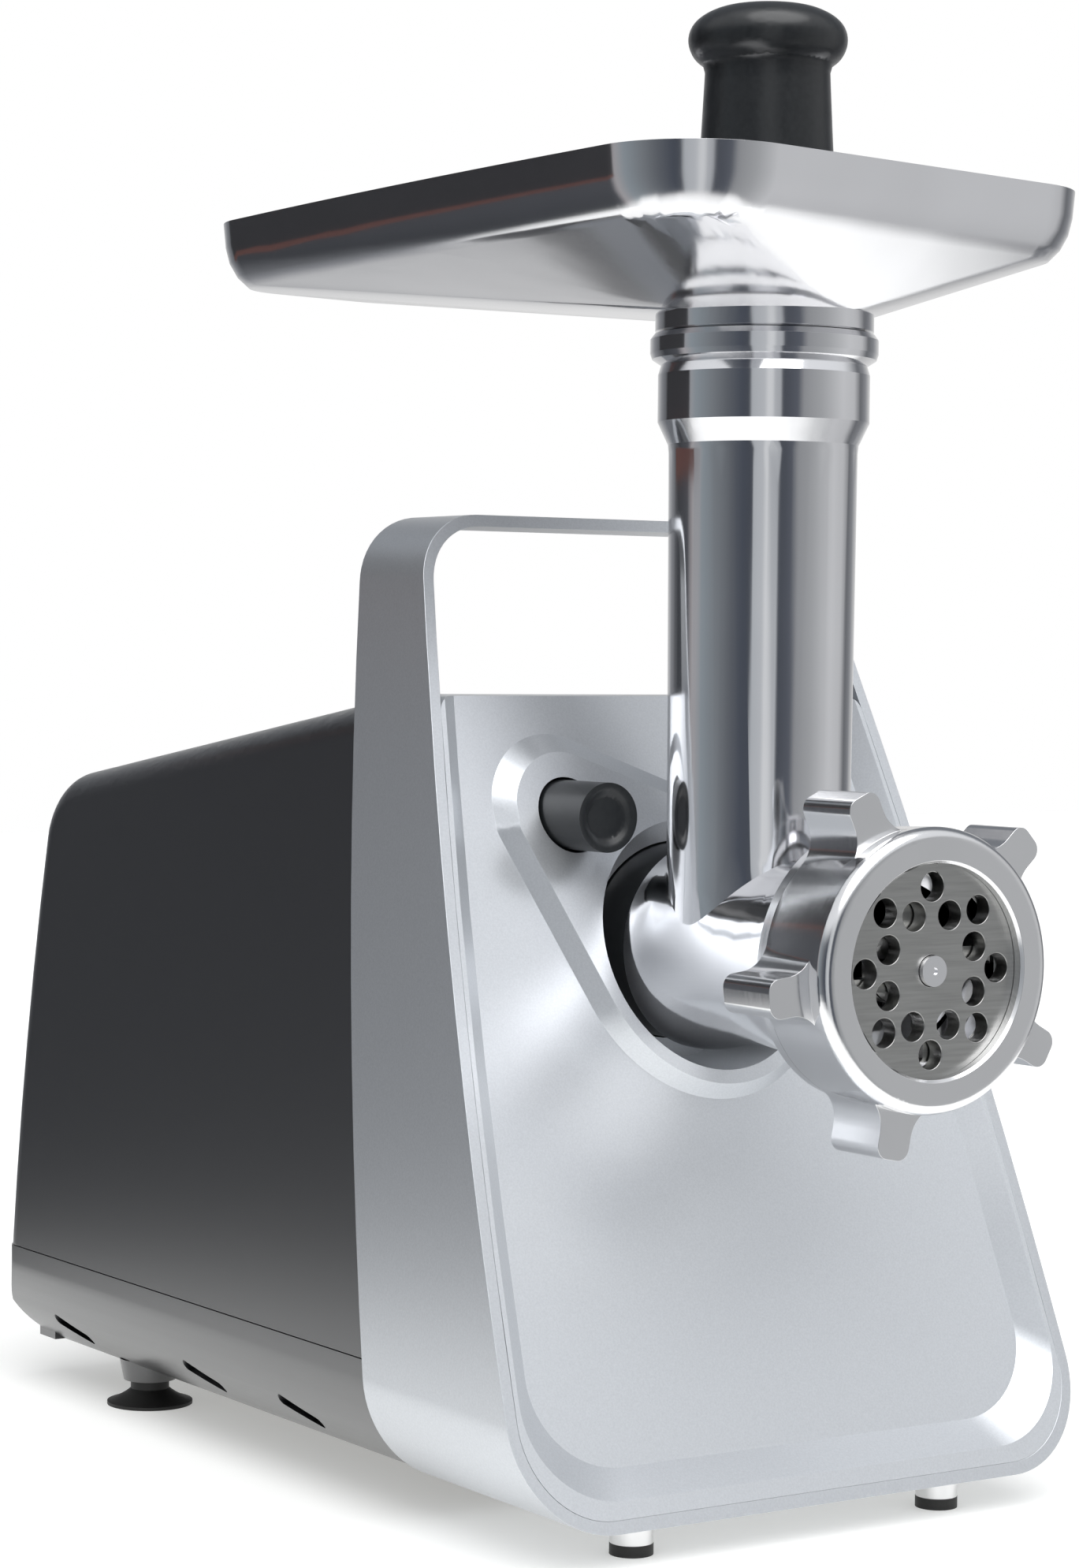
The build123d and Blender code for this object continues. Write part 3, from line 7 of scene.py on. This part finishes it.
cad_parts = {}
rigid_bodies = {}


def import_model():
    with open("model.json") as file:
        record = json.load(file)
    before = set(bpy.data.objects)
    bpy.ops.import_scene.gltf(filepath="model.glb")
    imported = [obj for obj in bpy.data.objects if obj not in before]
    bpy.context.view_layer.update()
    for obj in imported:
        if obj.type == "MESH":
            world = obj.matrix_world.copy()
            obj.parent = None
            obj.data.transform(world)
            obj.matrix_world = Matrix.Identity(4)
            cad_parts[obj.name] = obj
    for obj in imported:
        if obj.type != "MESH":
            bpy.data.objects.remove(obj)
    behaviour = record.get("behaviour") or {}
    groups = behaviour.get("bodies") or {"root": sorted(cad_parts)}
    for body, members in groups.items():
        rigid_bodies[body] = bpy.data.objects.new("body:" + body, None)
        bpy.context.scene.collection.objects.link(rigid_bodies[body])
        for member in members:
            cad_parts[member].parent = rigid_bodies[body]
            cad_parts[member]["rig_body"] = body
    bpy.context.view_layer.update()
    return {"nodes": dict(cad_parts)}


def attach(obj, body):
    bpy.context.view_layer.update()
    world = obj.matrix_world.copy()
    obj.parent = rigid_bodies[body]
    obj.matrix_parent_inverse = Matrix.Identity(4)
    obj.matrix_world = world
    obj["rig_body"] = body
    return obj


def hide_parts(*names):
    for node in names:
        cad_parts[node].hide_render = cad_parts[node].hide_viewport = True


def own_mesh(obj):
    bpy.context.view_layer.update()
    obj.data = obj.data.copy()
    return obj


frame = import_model()
nodes = frame["nodes"]
bpy.ops.object.select_all(action="DESELECT")

# ---------------------------------------------------------------- camera
# A long portrait lens stands left of the machine, a little above the middle of the body,
# and looks almost level at the front left edge of the loop.
HEADING = math.radians(33.45)
PITCH = math.radians(2.06)
ROLL = math.radians(0.58)
CAMERA_AT = Vector((-0.5380, -0.8097, 0.2128))
SENSOR_MM = 36.0
LENS_MM = 121.55

forward = Vector(
    (math.sin(HEADING) * math.cos(PITCH), math.cos(HEADING) * math.cos(PITCH), -math.sin(PITCH))
)
level_right = Vector((math.cos(HEADING), -math.sin(HEADING), 0.0))
level_up = level_right.cross(forward)
right = math.cos(ROLL) * level_right + math.sin(ROLL) * level_up
up = -math.sin(ROLL) * level_right + math.cos(ROLL) * level_up

camera_data = bpy.data.cameras.new("camera")
camera_data.sensor_fit = "HORIZONTAL"
camera_data.sensor_width = SENSOR_MM
camera_data.lens = LENS_MM
camera = bpy.data.objects.new("camera", camera_data)
camera.matrix_world = Matrix(
    (
        (right.x, up.x, -forward.x, CAMERA_AT.x),
        (right.y, up.y, -forward.y, CAMERA_AT.y),
        (right.z, up.z, -forward.z, CAMERA_AT.z),
        (0.0, 0.0, 0.0, 1.0),
    )
)
bpy.context.scene.collection.objects.link(camera)
bpy.context.scene.camera = camera
bpy.context.scene.view_settings.view_transform = "Standard"


# ---------------------------------------------------------------- studio
# White sheet lit from below on the floor, a wide soft box overhead, and a ring of pale and
# dark flags round the table that polished metal shows as upright stripes.
def linear(code):
    """An sRGB colour written as hex, turned into linear red, green, blue and full alpha."""
    parts = [int(code[k : k + 2], 16) / 255 for k in (0, 2, 4)]
    return [v / 12.92 if v <= 0.04045 else ((v + 0.055) / 1.055) ** 2.4 for v in parts] + [1.0]


def add_node(tree, kind, settings=None, links=None):
    """Adds a node; settings are its own fields or its sockets, links feed its sockets."""
    node = tree.nodes.new("ShaderNode" + kind)
    for name, value in (settings or {}).items():
        if isinstance(name, int) or name in node.inputs:
            node.inputs[name].default_value = value
        else:
            setattr(node, name, value)
    for name, source in (links or {}).items():
        tree.links.new(source, node.inputs[name])
    return node


def fill_ramp(node, stops):
    """Sets a colour ramp with straight steps between its stops, each a (place, colour)."""
    ramp = node.color_ramp
    ramp.interpolation = "LINEAR"
    while len(ramp.elements) > 1:
        ramp.elements.remove(ramp.elements[-1])
    ramp.elements[0].position = stops[0][0]
    ramp.elements[0].color = stops[0][1]
    for place, colour in stops[1:]:
        ramp.elements.new(place).color = colour


FLOOR_SIZE = 6.0
FLOOR_GLOW = 0.38
PAPER_EDGE = (0.34, 0.50)  # where the round sheet fades out for mirror rays, m
bpy.ops.mesh.primitive_plane_add(size=FLOOR_SIZE, location=(0, 0, 0))
floor = bpy.context.object
floor.name = "floor"
floor_paint = bpy.data.materials.new("white_sweep_paper")
floor_paint.use_nodes = True
tree = floor_paint.node_tree
shell = tree.nodes["Principled BSDF"]
shell.inputs["Base Color"].default_value = linear("dcdcdb")
shell.inputs["Roughness"].default_value = 0.75
shell.inputs["Emission Color"].default_value = linear("fbfbf8")
shell.inputs["Emission Strength"].default_value = FLOOR_GLOW
coordinates = add_node(tree, "TexCoord")
fibre = add_node(tree, "TexNoise", {"Scale": 900.0}, {"Vector": coordinates.outputs["Object"]})
bump = add_node(
    tree, "Bump", {"Strength": 0.03, "Distance": 0.0003}, {"Height": fibre.outputs["Fac"]}
)
tree.links.new(bump.outputs["Normal"], shell.inputs["Normal"])
# the white paper is a round sheet on the table: past its edge, metal mirrors the flags instead
distance = add_node(
    tree, "VectorMath", {"operation": "LENGTH"}, {0: coordinates.outputs["Object"]}
)
past_edge = add_node(
    tree,
    "MapRange",
    {"From Min": PAPER_EDGE[0], "From Max": PAPER_EDGE[1], "interpolation_type": "SMOOTHSTEP"},
    {"Value": distance.outputs["Value"]},
)
ray = add_node(tree, "LightPath")
mirrored = add_node(
    tree,
    "Math",
    {"operation": "MULTIPLY"},
    {0: ray.outputs["Is Glossy Ray"], 1: past_edge.outputs["Result"]},
)
gone = add_node(tree, "BsdfTransparent")
paper = add_node(
    tree,
    "MixShader",
    {},
    {0: mirrored.outputs["Value"], 1: shell.outputs["BSDF"], 2: gone.outputs["BSDF"]},
)
tree.links.new(paper.outputs["Shader"], tree.nodes["Material Output"].inputs["Surface"])
floor.data.materials.append(floor_paint)

# flags: (degrees round from the camera towards its right, brightness as a hex grey)
FLAGS = (
    (-180, "e6e6e6"),
    (-150, "8c8e92"),
    (-128, "404246"),
    (-106, "505257"),
    (-97, "a9a6a8"),
    (-82, "8d969c"),
    (-60, "7a7f84"),
    (-44, "64686e"),
    (-27, "4b505a"),
    (-18, "474b53"),
    (-16, "b4b8bc"),
    (-2, "bec1c5"),
    (1, "d8dadc"),
    (6, "d8dadc"),
    (9, "b4b7bb"),
    (15, "b0b3b7"),
    (17, "4a4e56"),
    (34, "5b5f68"),
    (41, "95979a"),
    (62, "a8aaac"),
    (92, "cdced0"),
    (112, "c3c4c6"),
    (126, "6c6e72"),
    (140, "8a8c90"),
    (166, "dcdcdc"),
    (180, "e6e6e6"),
)
world = bpy.data.worlds.new("studio")
bpy.context.scene.world = world
world.use_nodes = True
tree = world.node_tree
tree.nodes.clear()
coordinates = add_node(tree, "TexCoord")
away = add_node(
    tree,
    "VectorMath",
    {"operation": "DOT_PRODUCT", 1: (-math.sin(HEADING), -math.cos(HEADING), 0)},
    {0: coordinates.outputs["Generated"]},
)
across = add_node(
    tree,
    "VectorMath",
    {"operation": "DOT_PRODUCT", 1: (math.cos(HEADING), -math.sin(HEADING), 0)},
    {0: coordinates.outputs["Generated"]},
)
turn = add_node(
    tree, "Math", {"operation": "ARCTAN2"}, {0: across.outputs["Value"], 1: away.outputs["Value"]}
)
share = add_node(
    tree,
    "MapRange",
    {"From Min": -math.pi, "From Max": math.pi},
    {"Value": turn.outputs["Value"]},
)
flags = add_node(tree, "ValToRGB", {}, {"Fac": share.outputs["Result"]})
fill_ramp(flags, [((a + 180) / 360, linear(code)) for a, code in FLAGS])
height = add_node(tree, "SeparateXYZ", {}, {"Vector": coordinates.outputs["Generated"]})
# the flags stand on the table: above them is the pale ceiling, below the white table; each
# pair says where one fades into the other, as the height of a ray's direction
CEILING_EDGE = (0.25, 0.50)
TABLE_EDGE = (-0.62, -0.75)
ceiling = add_node(
    tree,
    "MapRange",
    {
        "From Min": CEILING_EDGE[0],
        "From Max": CEILING_EDGE[1],
        "interpolation_type": "SMOOTHSTEP",
    },
    {"Value": height.outputs["Z"]},
)
table = add_node(
    tree,
    "MapRange",
    {"From Min": TABLE_EDGE[0], "From Max": TABLE_EDGE[1], "interpolation_type": "SMOOTHSTEP"},
    {"Value": height.outputs["Z"]},
)
# the ceiling is pale over the camera and grey behind the machine
behind = add_node(
    tree,
    "MapRange",
    {"From Min": -0.15, "From Max": -0.50, "interpolation_type": "SMOOTHSTEP"},
    {"Value": away.outputs["Value"]},
)
ceiling_tone = add_node(
    tree,
    "MixRGB",
    {"Color1": linear("e9ebee"), "Color2": linear("7c8086")},
    {"Fac": behind.outputs["Result"]},
)
with_ceiling = add_node(
    tree,
    "MixRGB",
    {},
    {
        "Fac": ceiling.outputs["Result"],
        "Color1": flags.outputs["Color"],
        "Color2": ceiling_tone.outputs["Color"],
    },
)
with_table = add_node(
    tree,
    "MixRGB",
    {"Color2": linear("f2f2f2")},
    {"Fac": table.outputs["Result"], "Color1": with_ceiling.outputs["Color"]},
)
lit = add_node(tree, "Background", {"Strength": 1.0}, {"Color": with_table.outputs["Color"]})
seen = add_node(tree, "Background", {"Color": linear("ffffff"), "Strength": 1.0})
path = add_node(tree, "LightPath")
mix = add_node(
    tree,
    "MixShader",
    {},
    {0: path.outputs["Is Camera Ray"], 1: lit.outputs[0], 2: seen.outputs[0]},
)
add_node(tree, "OutputWorld", {}, {"Surface": mix.outputs[0]})

# A black card stands out of view behind the tray's left wall, with a dull red stripe along
# its foot; the polished wall mirrors it, and the tube, lower down, does not
CARD_AT = Vector((-0.235, 0.215, 0.347))
CARD_FACES = Vector((0.56, -0.83, 0.0))
CARD_WIDTH = 0.30
for name, code, low, high in (
    ("black_card", "2b2b2e", -0.058, 0.075),
    ("red_card_foot", "5c3d38", -0.076, -0.058),
):
    bpy.ops.object.select_all(action="DESELECT")
    bpy.ops.mesh.primitive_plane_add(size=1.0, location=(0, 0, 0))
    card = bpy.context.object
    card.name = name
    card.scale = (CARD_WIDTH, high - low, 1.0)
    card.rotation_euler = CARD_FACES.to_track_quat("Z", "Y").to_euler()
    card.location = CARD_AT + Vector((0, 0, (low + high) / 2))
    card_paint = bpy.data.materials.new(name + "_paint")
    card_paint.use_nodes = True
    card_shell = card_paint.node_tree.nodes["Principled BSDF"]
    card_shell.inputs["Base Color"].default_value = linear(code)
    card_shell.inputs["Roughness"].default_value = 0.9
    card.data.materials.append(card_paint)
    card.visible_camera = False
    card.visible_shadow = False
    card.visible_diffuse = False

SOFT_BOX_POWER = 2.5
SOFT_BOX_WIDTH = math.radians(64)
SOFT_BOX_FROM = Vector((-0.12, -0.44, 0.89))
top_light_data = bpy.data.lights.new("soft_box_above", "SUN")
top_light_data.energy = SOFT_BOX_POWER
top_light_data.angle = SOFT_BOX_WIDTH
top_light = bpy.data.objects.new("soft_box_above", top_light_data)
top_light.rotation_euler = SOFT_BOX_FROM.to_track_quat("Z", "Y").to_euler()
bpy.context.scene.collection.objects.link(top_light)


# ---------------------------------------------------------------- loop and carry handle
# One bent metal band, 3 mm thick, runs under the front, up both sides and across the top as
# the handle. It is sprayed with fine silver lacquer, and its edges are broken by 0.45 mm.
def new_material(name):
    """A node material; returns it with its tree, its main shader and its place coordinates."""
    material = bpy.data.materials.new(name)
    material.use_nodes = True
    tree = material.node_tree
    shell = tree.nodes["Principled BSDF"]
    place = add_node(tree, "TexCoord").outputs["Object"]
    return material, tree, shell, place


def paint(names, material):
    """Gives nodes or pieces, by name, their only material."""
    for name in names:
        piece = nodes.get(name) or bpy.data.objects[name]
        piece.data.materials.clear()
        piece.data.materials.append(material)


def grain(tree, place, size_mm, strength, depth_mm, detail=2.0, stretch=(1, 1, 1), under=None):
    """Bump from noise whose lumps are size_mm across; a stretch under 1 draws them long."""
    mapping = add_node(tree, "Mapping", {"Scale": stretch}, {"Vector": place})
    noise = add_node(
        tree,
        "TexNoise",
        {"Scale": 1000.0 / size_mm, "Detail": detail},
        {"Vector": mapping.outputs["Vector"]},
    )
    links = {"Height": noise.outputs["Fac"]}
    if under:
        links["Normal"] = under
    bump = add_node(
        tree, "Bump", {"Strength": strength, "Distance": depth_mm / 1000.0}, links
    )
    return bump.outputs["Normal"], noise.outputs["Fac"]


def vary(tree, source, low, high):
    """Turns a 0..1 pattern into a value between low and high."""
    return add_node(
        tree, "MapRange", {"To Min": low, "To Max": high}, {"Value": source}
    ).outputs["Result"]


def two_tone(tree, source, stops, socket):
    """Colours a socket by a 0..1 pattern; stops are (place, colour)."""
    shade = add_node(tree, "ValToRGB", {}, {"Fac": source})
    fill_ramp(shade, stops)
    tree.links.new(shade.outputs["Color"], socket)


def speckled(name, lumps, tones, roughness, **settings):
    """A skin with fine lumps: lumps are (size in mm, strength, depth in mm, detail), tones are
    dark and light, and roughness is one value or its low and high."""
    material, tree, shell, place = new_material(name)
    bumps, pattern = grain(tree, place, *lumps)
    tree.links.new(bumps, shell.inputs["Normal"])
    stops = [(0.3, linear(tones[0])), (0.7, linear(tones[1]))]
    two_tone(tree, pattern, stops, shell.inputs["Base Color"])
    if isinstance(roughness, tuple):
        tree.links.new(vary(tree, pattern, *roughness), shell.inputs["Roughness"])
    else:
        shell.inputs["Roughness"].default_value = roughness
    for socket, value in settings.items():
        shell.inputs[socket.replace("_", " ")].default_value = value
    return material


MERGE_DISTANCE = 0.000004  # corners of the solid's loose triangles closer than this are one
FLAT_FACE_WEIGHT = 80


def rounded_copy(name, new_name, width_mm, segments=3, sharp=28.0, smooth=32.0, flatten=0.6):
    """A copy of a CAD node that stands for it, with each edge sharper than sharp degrees
    broken by a radius, and faces that meet within flatten degrees joined into one."""
    source = nodes[name]
    piece = bpy.data.objects.new(new_name, source.data.copy())
    bpy.context.scene.collection.objects.link(piece)
    piece.data.materials.clear()
    bpy.ops.object.select_all(action="DESELECT")
    piece.select_set(True)
    bpy.context.view_layer.objects.active = piece
    bpy.ops.object.mode_set(mode="EDIT")
    bpy.ops.mesh.select_all(action="SELECT")
    bpy.ops.mesh.remove_doubles(threshold=MERGE_DISTANCE)
    if flatten:
        bpy.ops.mesh.dissolve_limited(angle_limit=math.radians(flatten))
    bpy.ops.object.mode_set(mode="OBJECT")
    if width_mm:
        bevel = piece.modifiers.new("edge_radius", "BEVEL")
        bevel.width = width_mm / 1000.0
        bevel.segments = segments
        bevel.limit_method = "ANGLE"
        bevel.angle_limit = math.radians(sharp)
        bevel.use_clamp_overlap = True
        bevel.miter_outer = "MITER_ARC"
        bpy.ops.object.modifier_apply(modifier=bevel.name)
    bpy.ops.object.shade_smooth_by_angle(angle=math.radians(smooth))
    weighted = piece.modifiers.new("flat_faces_stay_flat", "WEIGHTED_NORMAL")
    weighted.keep_sharp = True
    weighted.weight = FLAT_FACE_WEIGHT
    bpy.ops.object.modifier_apply(modifier=weighted.name)
    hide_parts(name)
    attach(piece, source["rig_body"])
    return piece


# sprayed silver lacquer: aluminium flakes under a thin clear binder give a satin sheen; the
# flakes are drawn 0.55 mm across, coarser than real ones, so that they show
silver_lacquer = speckled(
    "silver_lacquer",
    (0.55, 0.10, 0.02, 4.0),
    ("cdd0d4", "d6d9dd"),
    (0.34, 0.42),
    Metallic=0.85,
    Coat_Weight=0.12,
    Coat_Roughness=0.22,
)
loop = rounded_copy("front_frame", "loop_band", 0.45, sharp=40.0, smooth=30.0)
paint(["loop_band"], silver_lacquer)

# ---------------------------------------------------------------- front panel
# Injection-moulded ABS, sprayed with nearly the same silver as the loop: a sunk face with a
# raised pad round the release button and the head's opening. Its edges are broken by 0.4 mm.

# the same lacquer on smooth plastic lies flatter and shines a little more than on the loop
panel_lacquer = speckled(
    "panel_silver_lacquer",
    (0.5, 0.08, 0.02, 4.0),
    ("d0d3d7", "d9dce0"),
    (0.30, 0.36),
    Metallic=0.7,
    Coat_Weight=0.15,
    Coat_Roughness=0.2,
)
panel = rounded_copy("front_panel", "panel_face", 0.4, sharp=22.0, smooth=26.0)
paint(["panel_face"], panel_lacquer)

# ---------------------------------------------------------------- motor housing and base
# Black ABS mouldings with a fine spark-eroded texture that looks satin; the housing sits on
# the base along one level seam. Edges are broken by 0.5 mm, which makes the seam readable.

# moulded ABS: near black, with a strong soft sheen that picks up the pale table low down
black_abs = speckled(
    "black_textured_abs",
    (0.45, 0.22, 0.03, 3.0),
    ("101114", "16171b"),
    (0.36, 0.46),
    IOR=1.53,
    Coat_Weight=1.0,
    Coat_IOR=1.9,
    Coat_Roughness=0.3,
)
for name, new_name in (("main_housing", "housing_shell"), ("base_cover", "base_shell")):
    piece = rounded_copy(name, new_name, 0.5, sharp=40.0, smooth=30.0)
    paint([new_name], black_abs)


# ---------------------------------------------------------------- head casting
# Die-cast aluminium, tumbled and buffed bright: feed tube with two turned collars, and the
# barrel that carries the auger. Its edges are broken by 0.3 mm.
def buffed(name, tone, roughness, ripple, hairline):
    """Buffed metal: long faint ripples 26 mm across under hairlines that run upright."""
    material, tree, shell, place = new_material(name)
    wave, wave_map = grain(tree, place, 26.0, ripple, 0.8, detail=1.0)
    line, line_map = grain(
        tree, place, 0.9, hairline, 0.02, detail=5.0, stretch=(1, 1, 0.06), under=wave
    )
    tree.links.new(line, shell.inputs["Normal"])
    tree.links.new(
        vary(tree, line_map, roughness * 0.8, roughness * 1.3), shell.inputs["Roughness"]
    )
    light = [min(1.0, 1.05 * v) for v in linear(tone)]
    stops = [(0.25, linear(tone)), (0.8, light)]
    two_tone(tree, wave_map, stops, shell.inputs["Base Color"])
    shell.inputs["Metallic"].default_value = 1.0
    return material


# cast aluminium buffed almost to a mirror; the stripes in it are the flags of the studio
buffed_aluminium = buffed("buffed_cast_aluminium", "e8e8ea", 0.09, 0.10, 0.07)
casting = rounded_copy("head_body", "head_casting", 0.3, sharp=14.0, smooth=24.0)
paint(["head_casting"], buffed_aluminium)

# ---------------------------------------------------------------- inside the head
# The auger is cast and buffed like the head. It turns in a sintered bronze bushing, with a
# nylon washer behind it.
paint(["auger"], buffed_aluminium)
# sintered bronze: pressed grains leave a dull, open, warm skin
bronze = speckled(
    "sintered_bronze", (0.6, 0.3, 0.03, 4.0), ("a8804a", "c69c60"), 0.38, Metallic=1.0
)
paint(["head_bushing"], bronze)
# natural nylon: off-white, waxy, with faint sink marks
nylon = speckled("natural_nylon", (2.2, 0.1, 0.04, 3.0), ("ddd9cb", "e8e5da"), 0.45)
paint(["auger_washer"], nylon)

# ---------------------------------------------------------------- ring nut
# A die-cast ring with five gripping lugs, buffed like the head but a little softer, with
# every edge rounded by 1.2 mm.
ring = rounded_copy("ring_nut", "ring_nut_casting", 1.2, segments=4, sharp=38.0, smooth=40.0)
ring_metal = buffed("buffed_ring_aluminium", "e6e6e7", 0.14, 0.08, 0.08)
paint(["ring_nut_casting"], ring_metal)

# ---------------------------------------------------------------- feed tray
# Deep-drawn aluminium sheet, polished; the floor falls to a neck that plugs into the tube.
# Edges are broken by 0.3 mm.
tray = rounded_copy("feed_tray", "tray_pressing", 0.3, sharp=35.0, smooth=40.0)
tray_metal = buffed("polished_sheet_aluminium", "e4e4e6", 0.12, 0.12, 0.06)
paint(["tray_pressing"], tray_metal)

# ---------------------------------------------------------------- plate and knife
# Hardened steel, surface-ground flat: straight fine grinding marks run across the face. The
# holes keep nearly sharp rims, 0.25 mm.
ground_steel, tree, shell, place = new_material("surface_ground_steel")
line, line_map = grain(tree, place, 0.7, 0.25, 0.02, detail=6.0, stretch=(0.05, 1, 1))
tree.links.new(line, shell.inputs["Normal"])
tree.links.new(vary(tree, line_map, 0.26, 0.42), shell.inputs["Roughness"])
stops = [(0.2, linear("9c9c9a")), (0.8, linear("b2b2b0"))]
two_tone(tree, line_map, stops, shell.inputs["Base Color"])
shell.inputs["Metallic"].default_value = 1.0
plate = rounded_copy("cutting_plate", "ground_plate", 0.25, segments=2, sharp=35.0, smooth=40.0)
paint(["ground_plate", "knife"], ground_steel)

# ---------------------------------------------------------------- pusher, button and rocker
# Black polypropylene and ABS mouldings: the pusher, the release button, the rocker and its
# bezel, and the socket drum the head turns in. The pusher's edges are round as moulded.

# satin plastic straight from a smooth mould, with soft highlights
satin_black = speckled(
    "satin_black_moulding", (1.4, 0.05, 0.03, 3.0), ("1d1f21", "232527"), (0.26, 0.34), IOR=1.5
)
for name, new_name, width, sharp, flatten, slot_name in (
    ("pusher", "pusher_moulding", 0.0, 40.0, 0.0, "dark_knob"),
    ("lock_button", "release_button", 0.5, 60.0, 0.0, "dark_knob"),
    ("rocker", "switch_rocker", 0.4, 40.0, 0.6, "dark_knob"),
    ("switch_body", "switch_bezel", 0.4, 40.0, 0.6, "black_plastic"),
    ("head_socket", "socket_drum", 0.4, 40.0, 0.6, "black_plastic"),
):
    piece = rounded_copy(name, new_name, width, sharp=sharp, smooth=50.0, flatten=flatten)
    paint([new_name], satin_black)

# ---------------------------------------------------------------- button spring and screws
# Wire and screws of zinc-plated steel. The spring's copy gets a mesh of its own.
# bright zinc plate: pale, slightly blue, faintly cloudy
zinc = speckled(
    "zinc_plated_steel", (1.0, 0.1, 0.02, 3.0), ("bfc2c6", "d2d4d4"), 0.25, Metallic=1.0
)
paint(["socket_screws", "gearbox_screws", "base_screws", "board_screws", "motor_bolts"], zinc)
spring = rounded_copy("button_spring", "button_coil", 0.0, smooth=50.0, flatten=0.0)
paint(["button_coil"], zinc)
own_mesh(spring)

# ---------------------------------------------------------------- feet
# Turned aluminium front feet with pressed-in rubber pads, two soft rubber suction cups, and
# the rubber gland where the cord would leave.

# black rubber: dull and faintly rough, a little brown
matt_rubber = speckled("moulded_rubber", (0.8, 0.25, 0.04, 4.0), ("191918", "222120"), (0.42, 0.6))
paint(["suction_cups", "front_foot_pads", "cord_gland"], matt_rubber)
# lathe-turned aluminium, not buffed: satin
foot_metal = buffed("turned_aluminium", "e6e6e6", 0.3, 0.0, 0.1)
paint(["front_feet"], foot_metal)

# ---------------------------------------------------------------- gearbox
# Natural nylon case and gears, with a machined steel pinion, axles and output shaft that turns
# in a bronze bushing.
paint(["gearbox_case", "gearbox_cover", "output_gear", "second_gear", "first_gear"], nylon)
# machined steel: grey, with turning marks
machined_steel = buffed("machined_steel", "9a9a9c", 0.28, 0.0, 0.2)
paint(["motor_pinion", "gear_axles", "output_shaft", "rotor_shaft"], machined_steel)
paint(["shaft_bushing"], bronze)


# ---------------------------------------------------------------- motor and electrics
# Laminated silicon steel, enamelled copper windings, a copper commutator with carbon brushes
# in bronze holders, an aluminium bracket, a moulded fan, and a green circuit board.
def banded(name, scale, direction, strength, depth_mm, tones, roughness):
    """Metal in fine parallel bands; a scale of 300 draws them about 1 mm apart."""
    material, tree, shell, place = new_material(name)
    bands = add_node(
        tree, "TexWave", {"Scale": scale, "bands_direction": direction}, {"Vector": place}
    )
    bump = add_node(
        tree,
        "Bump",
        {"Strength": strength, "Distance": depth_mm / 1000.0},
        {"Height": bands.outputs["Fac"]},
    )
    tree.links.new(bump.outputs["Normal"], shell.inputs["Normal"])
    stops = [(0.2, linear(tones[0])), (0.8, linear(tones[1]))]
    two_tone(tree, bands.outputs["Fac"], stops, shell.inputs["Base Color"])
    shell.inputs["Metallic"].default_value = 1.0
    shell.inputs["Roughness"].default_value = roughness
    return material


# stacked steel sheets, 0.5 mm thick, seen on edge; drawn 1 mm apart so that they show
lamination = banded("laminated_silicon_steel", 320.0, "Y", 0.4, 0.2, ("55575b", "7c7e82"), 0.42)
paint(["stator_core", "rotor_core"], lamination)
# wound wire under clear enamel: warm, glossy turns
copper = banded("enamelled_copper_wire", 260.0, "DIAGONAL", 0.6, 0.3, ("8a4322", "c77a48"), 0.3)
paint(["field_coils", "rotor_windings", "commutator"], copper)
paint(["motor_bearings", "brush_holders"], bronze)
paint(["motor_bracket"], foot_metal)
paint(["cooling_fan"], black_abs)
paint(["carbon_brushes"], matt_rubber)
# green lacquer over woven glass and epoxy
board = speckled("glass_epoxy_board", (0.7, 0.15, 0.02, 2.0), ("1f5a34", "2a6d40"), 0.35)
paint(["circuit_board"], board)
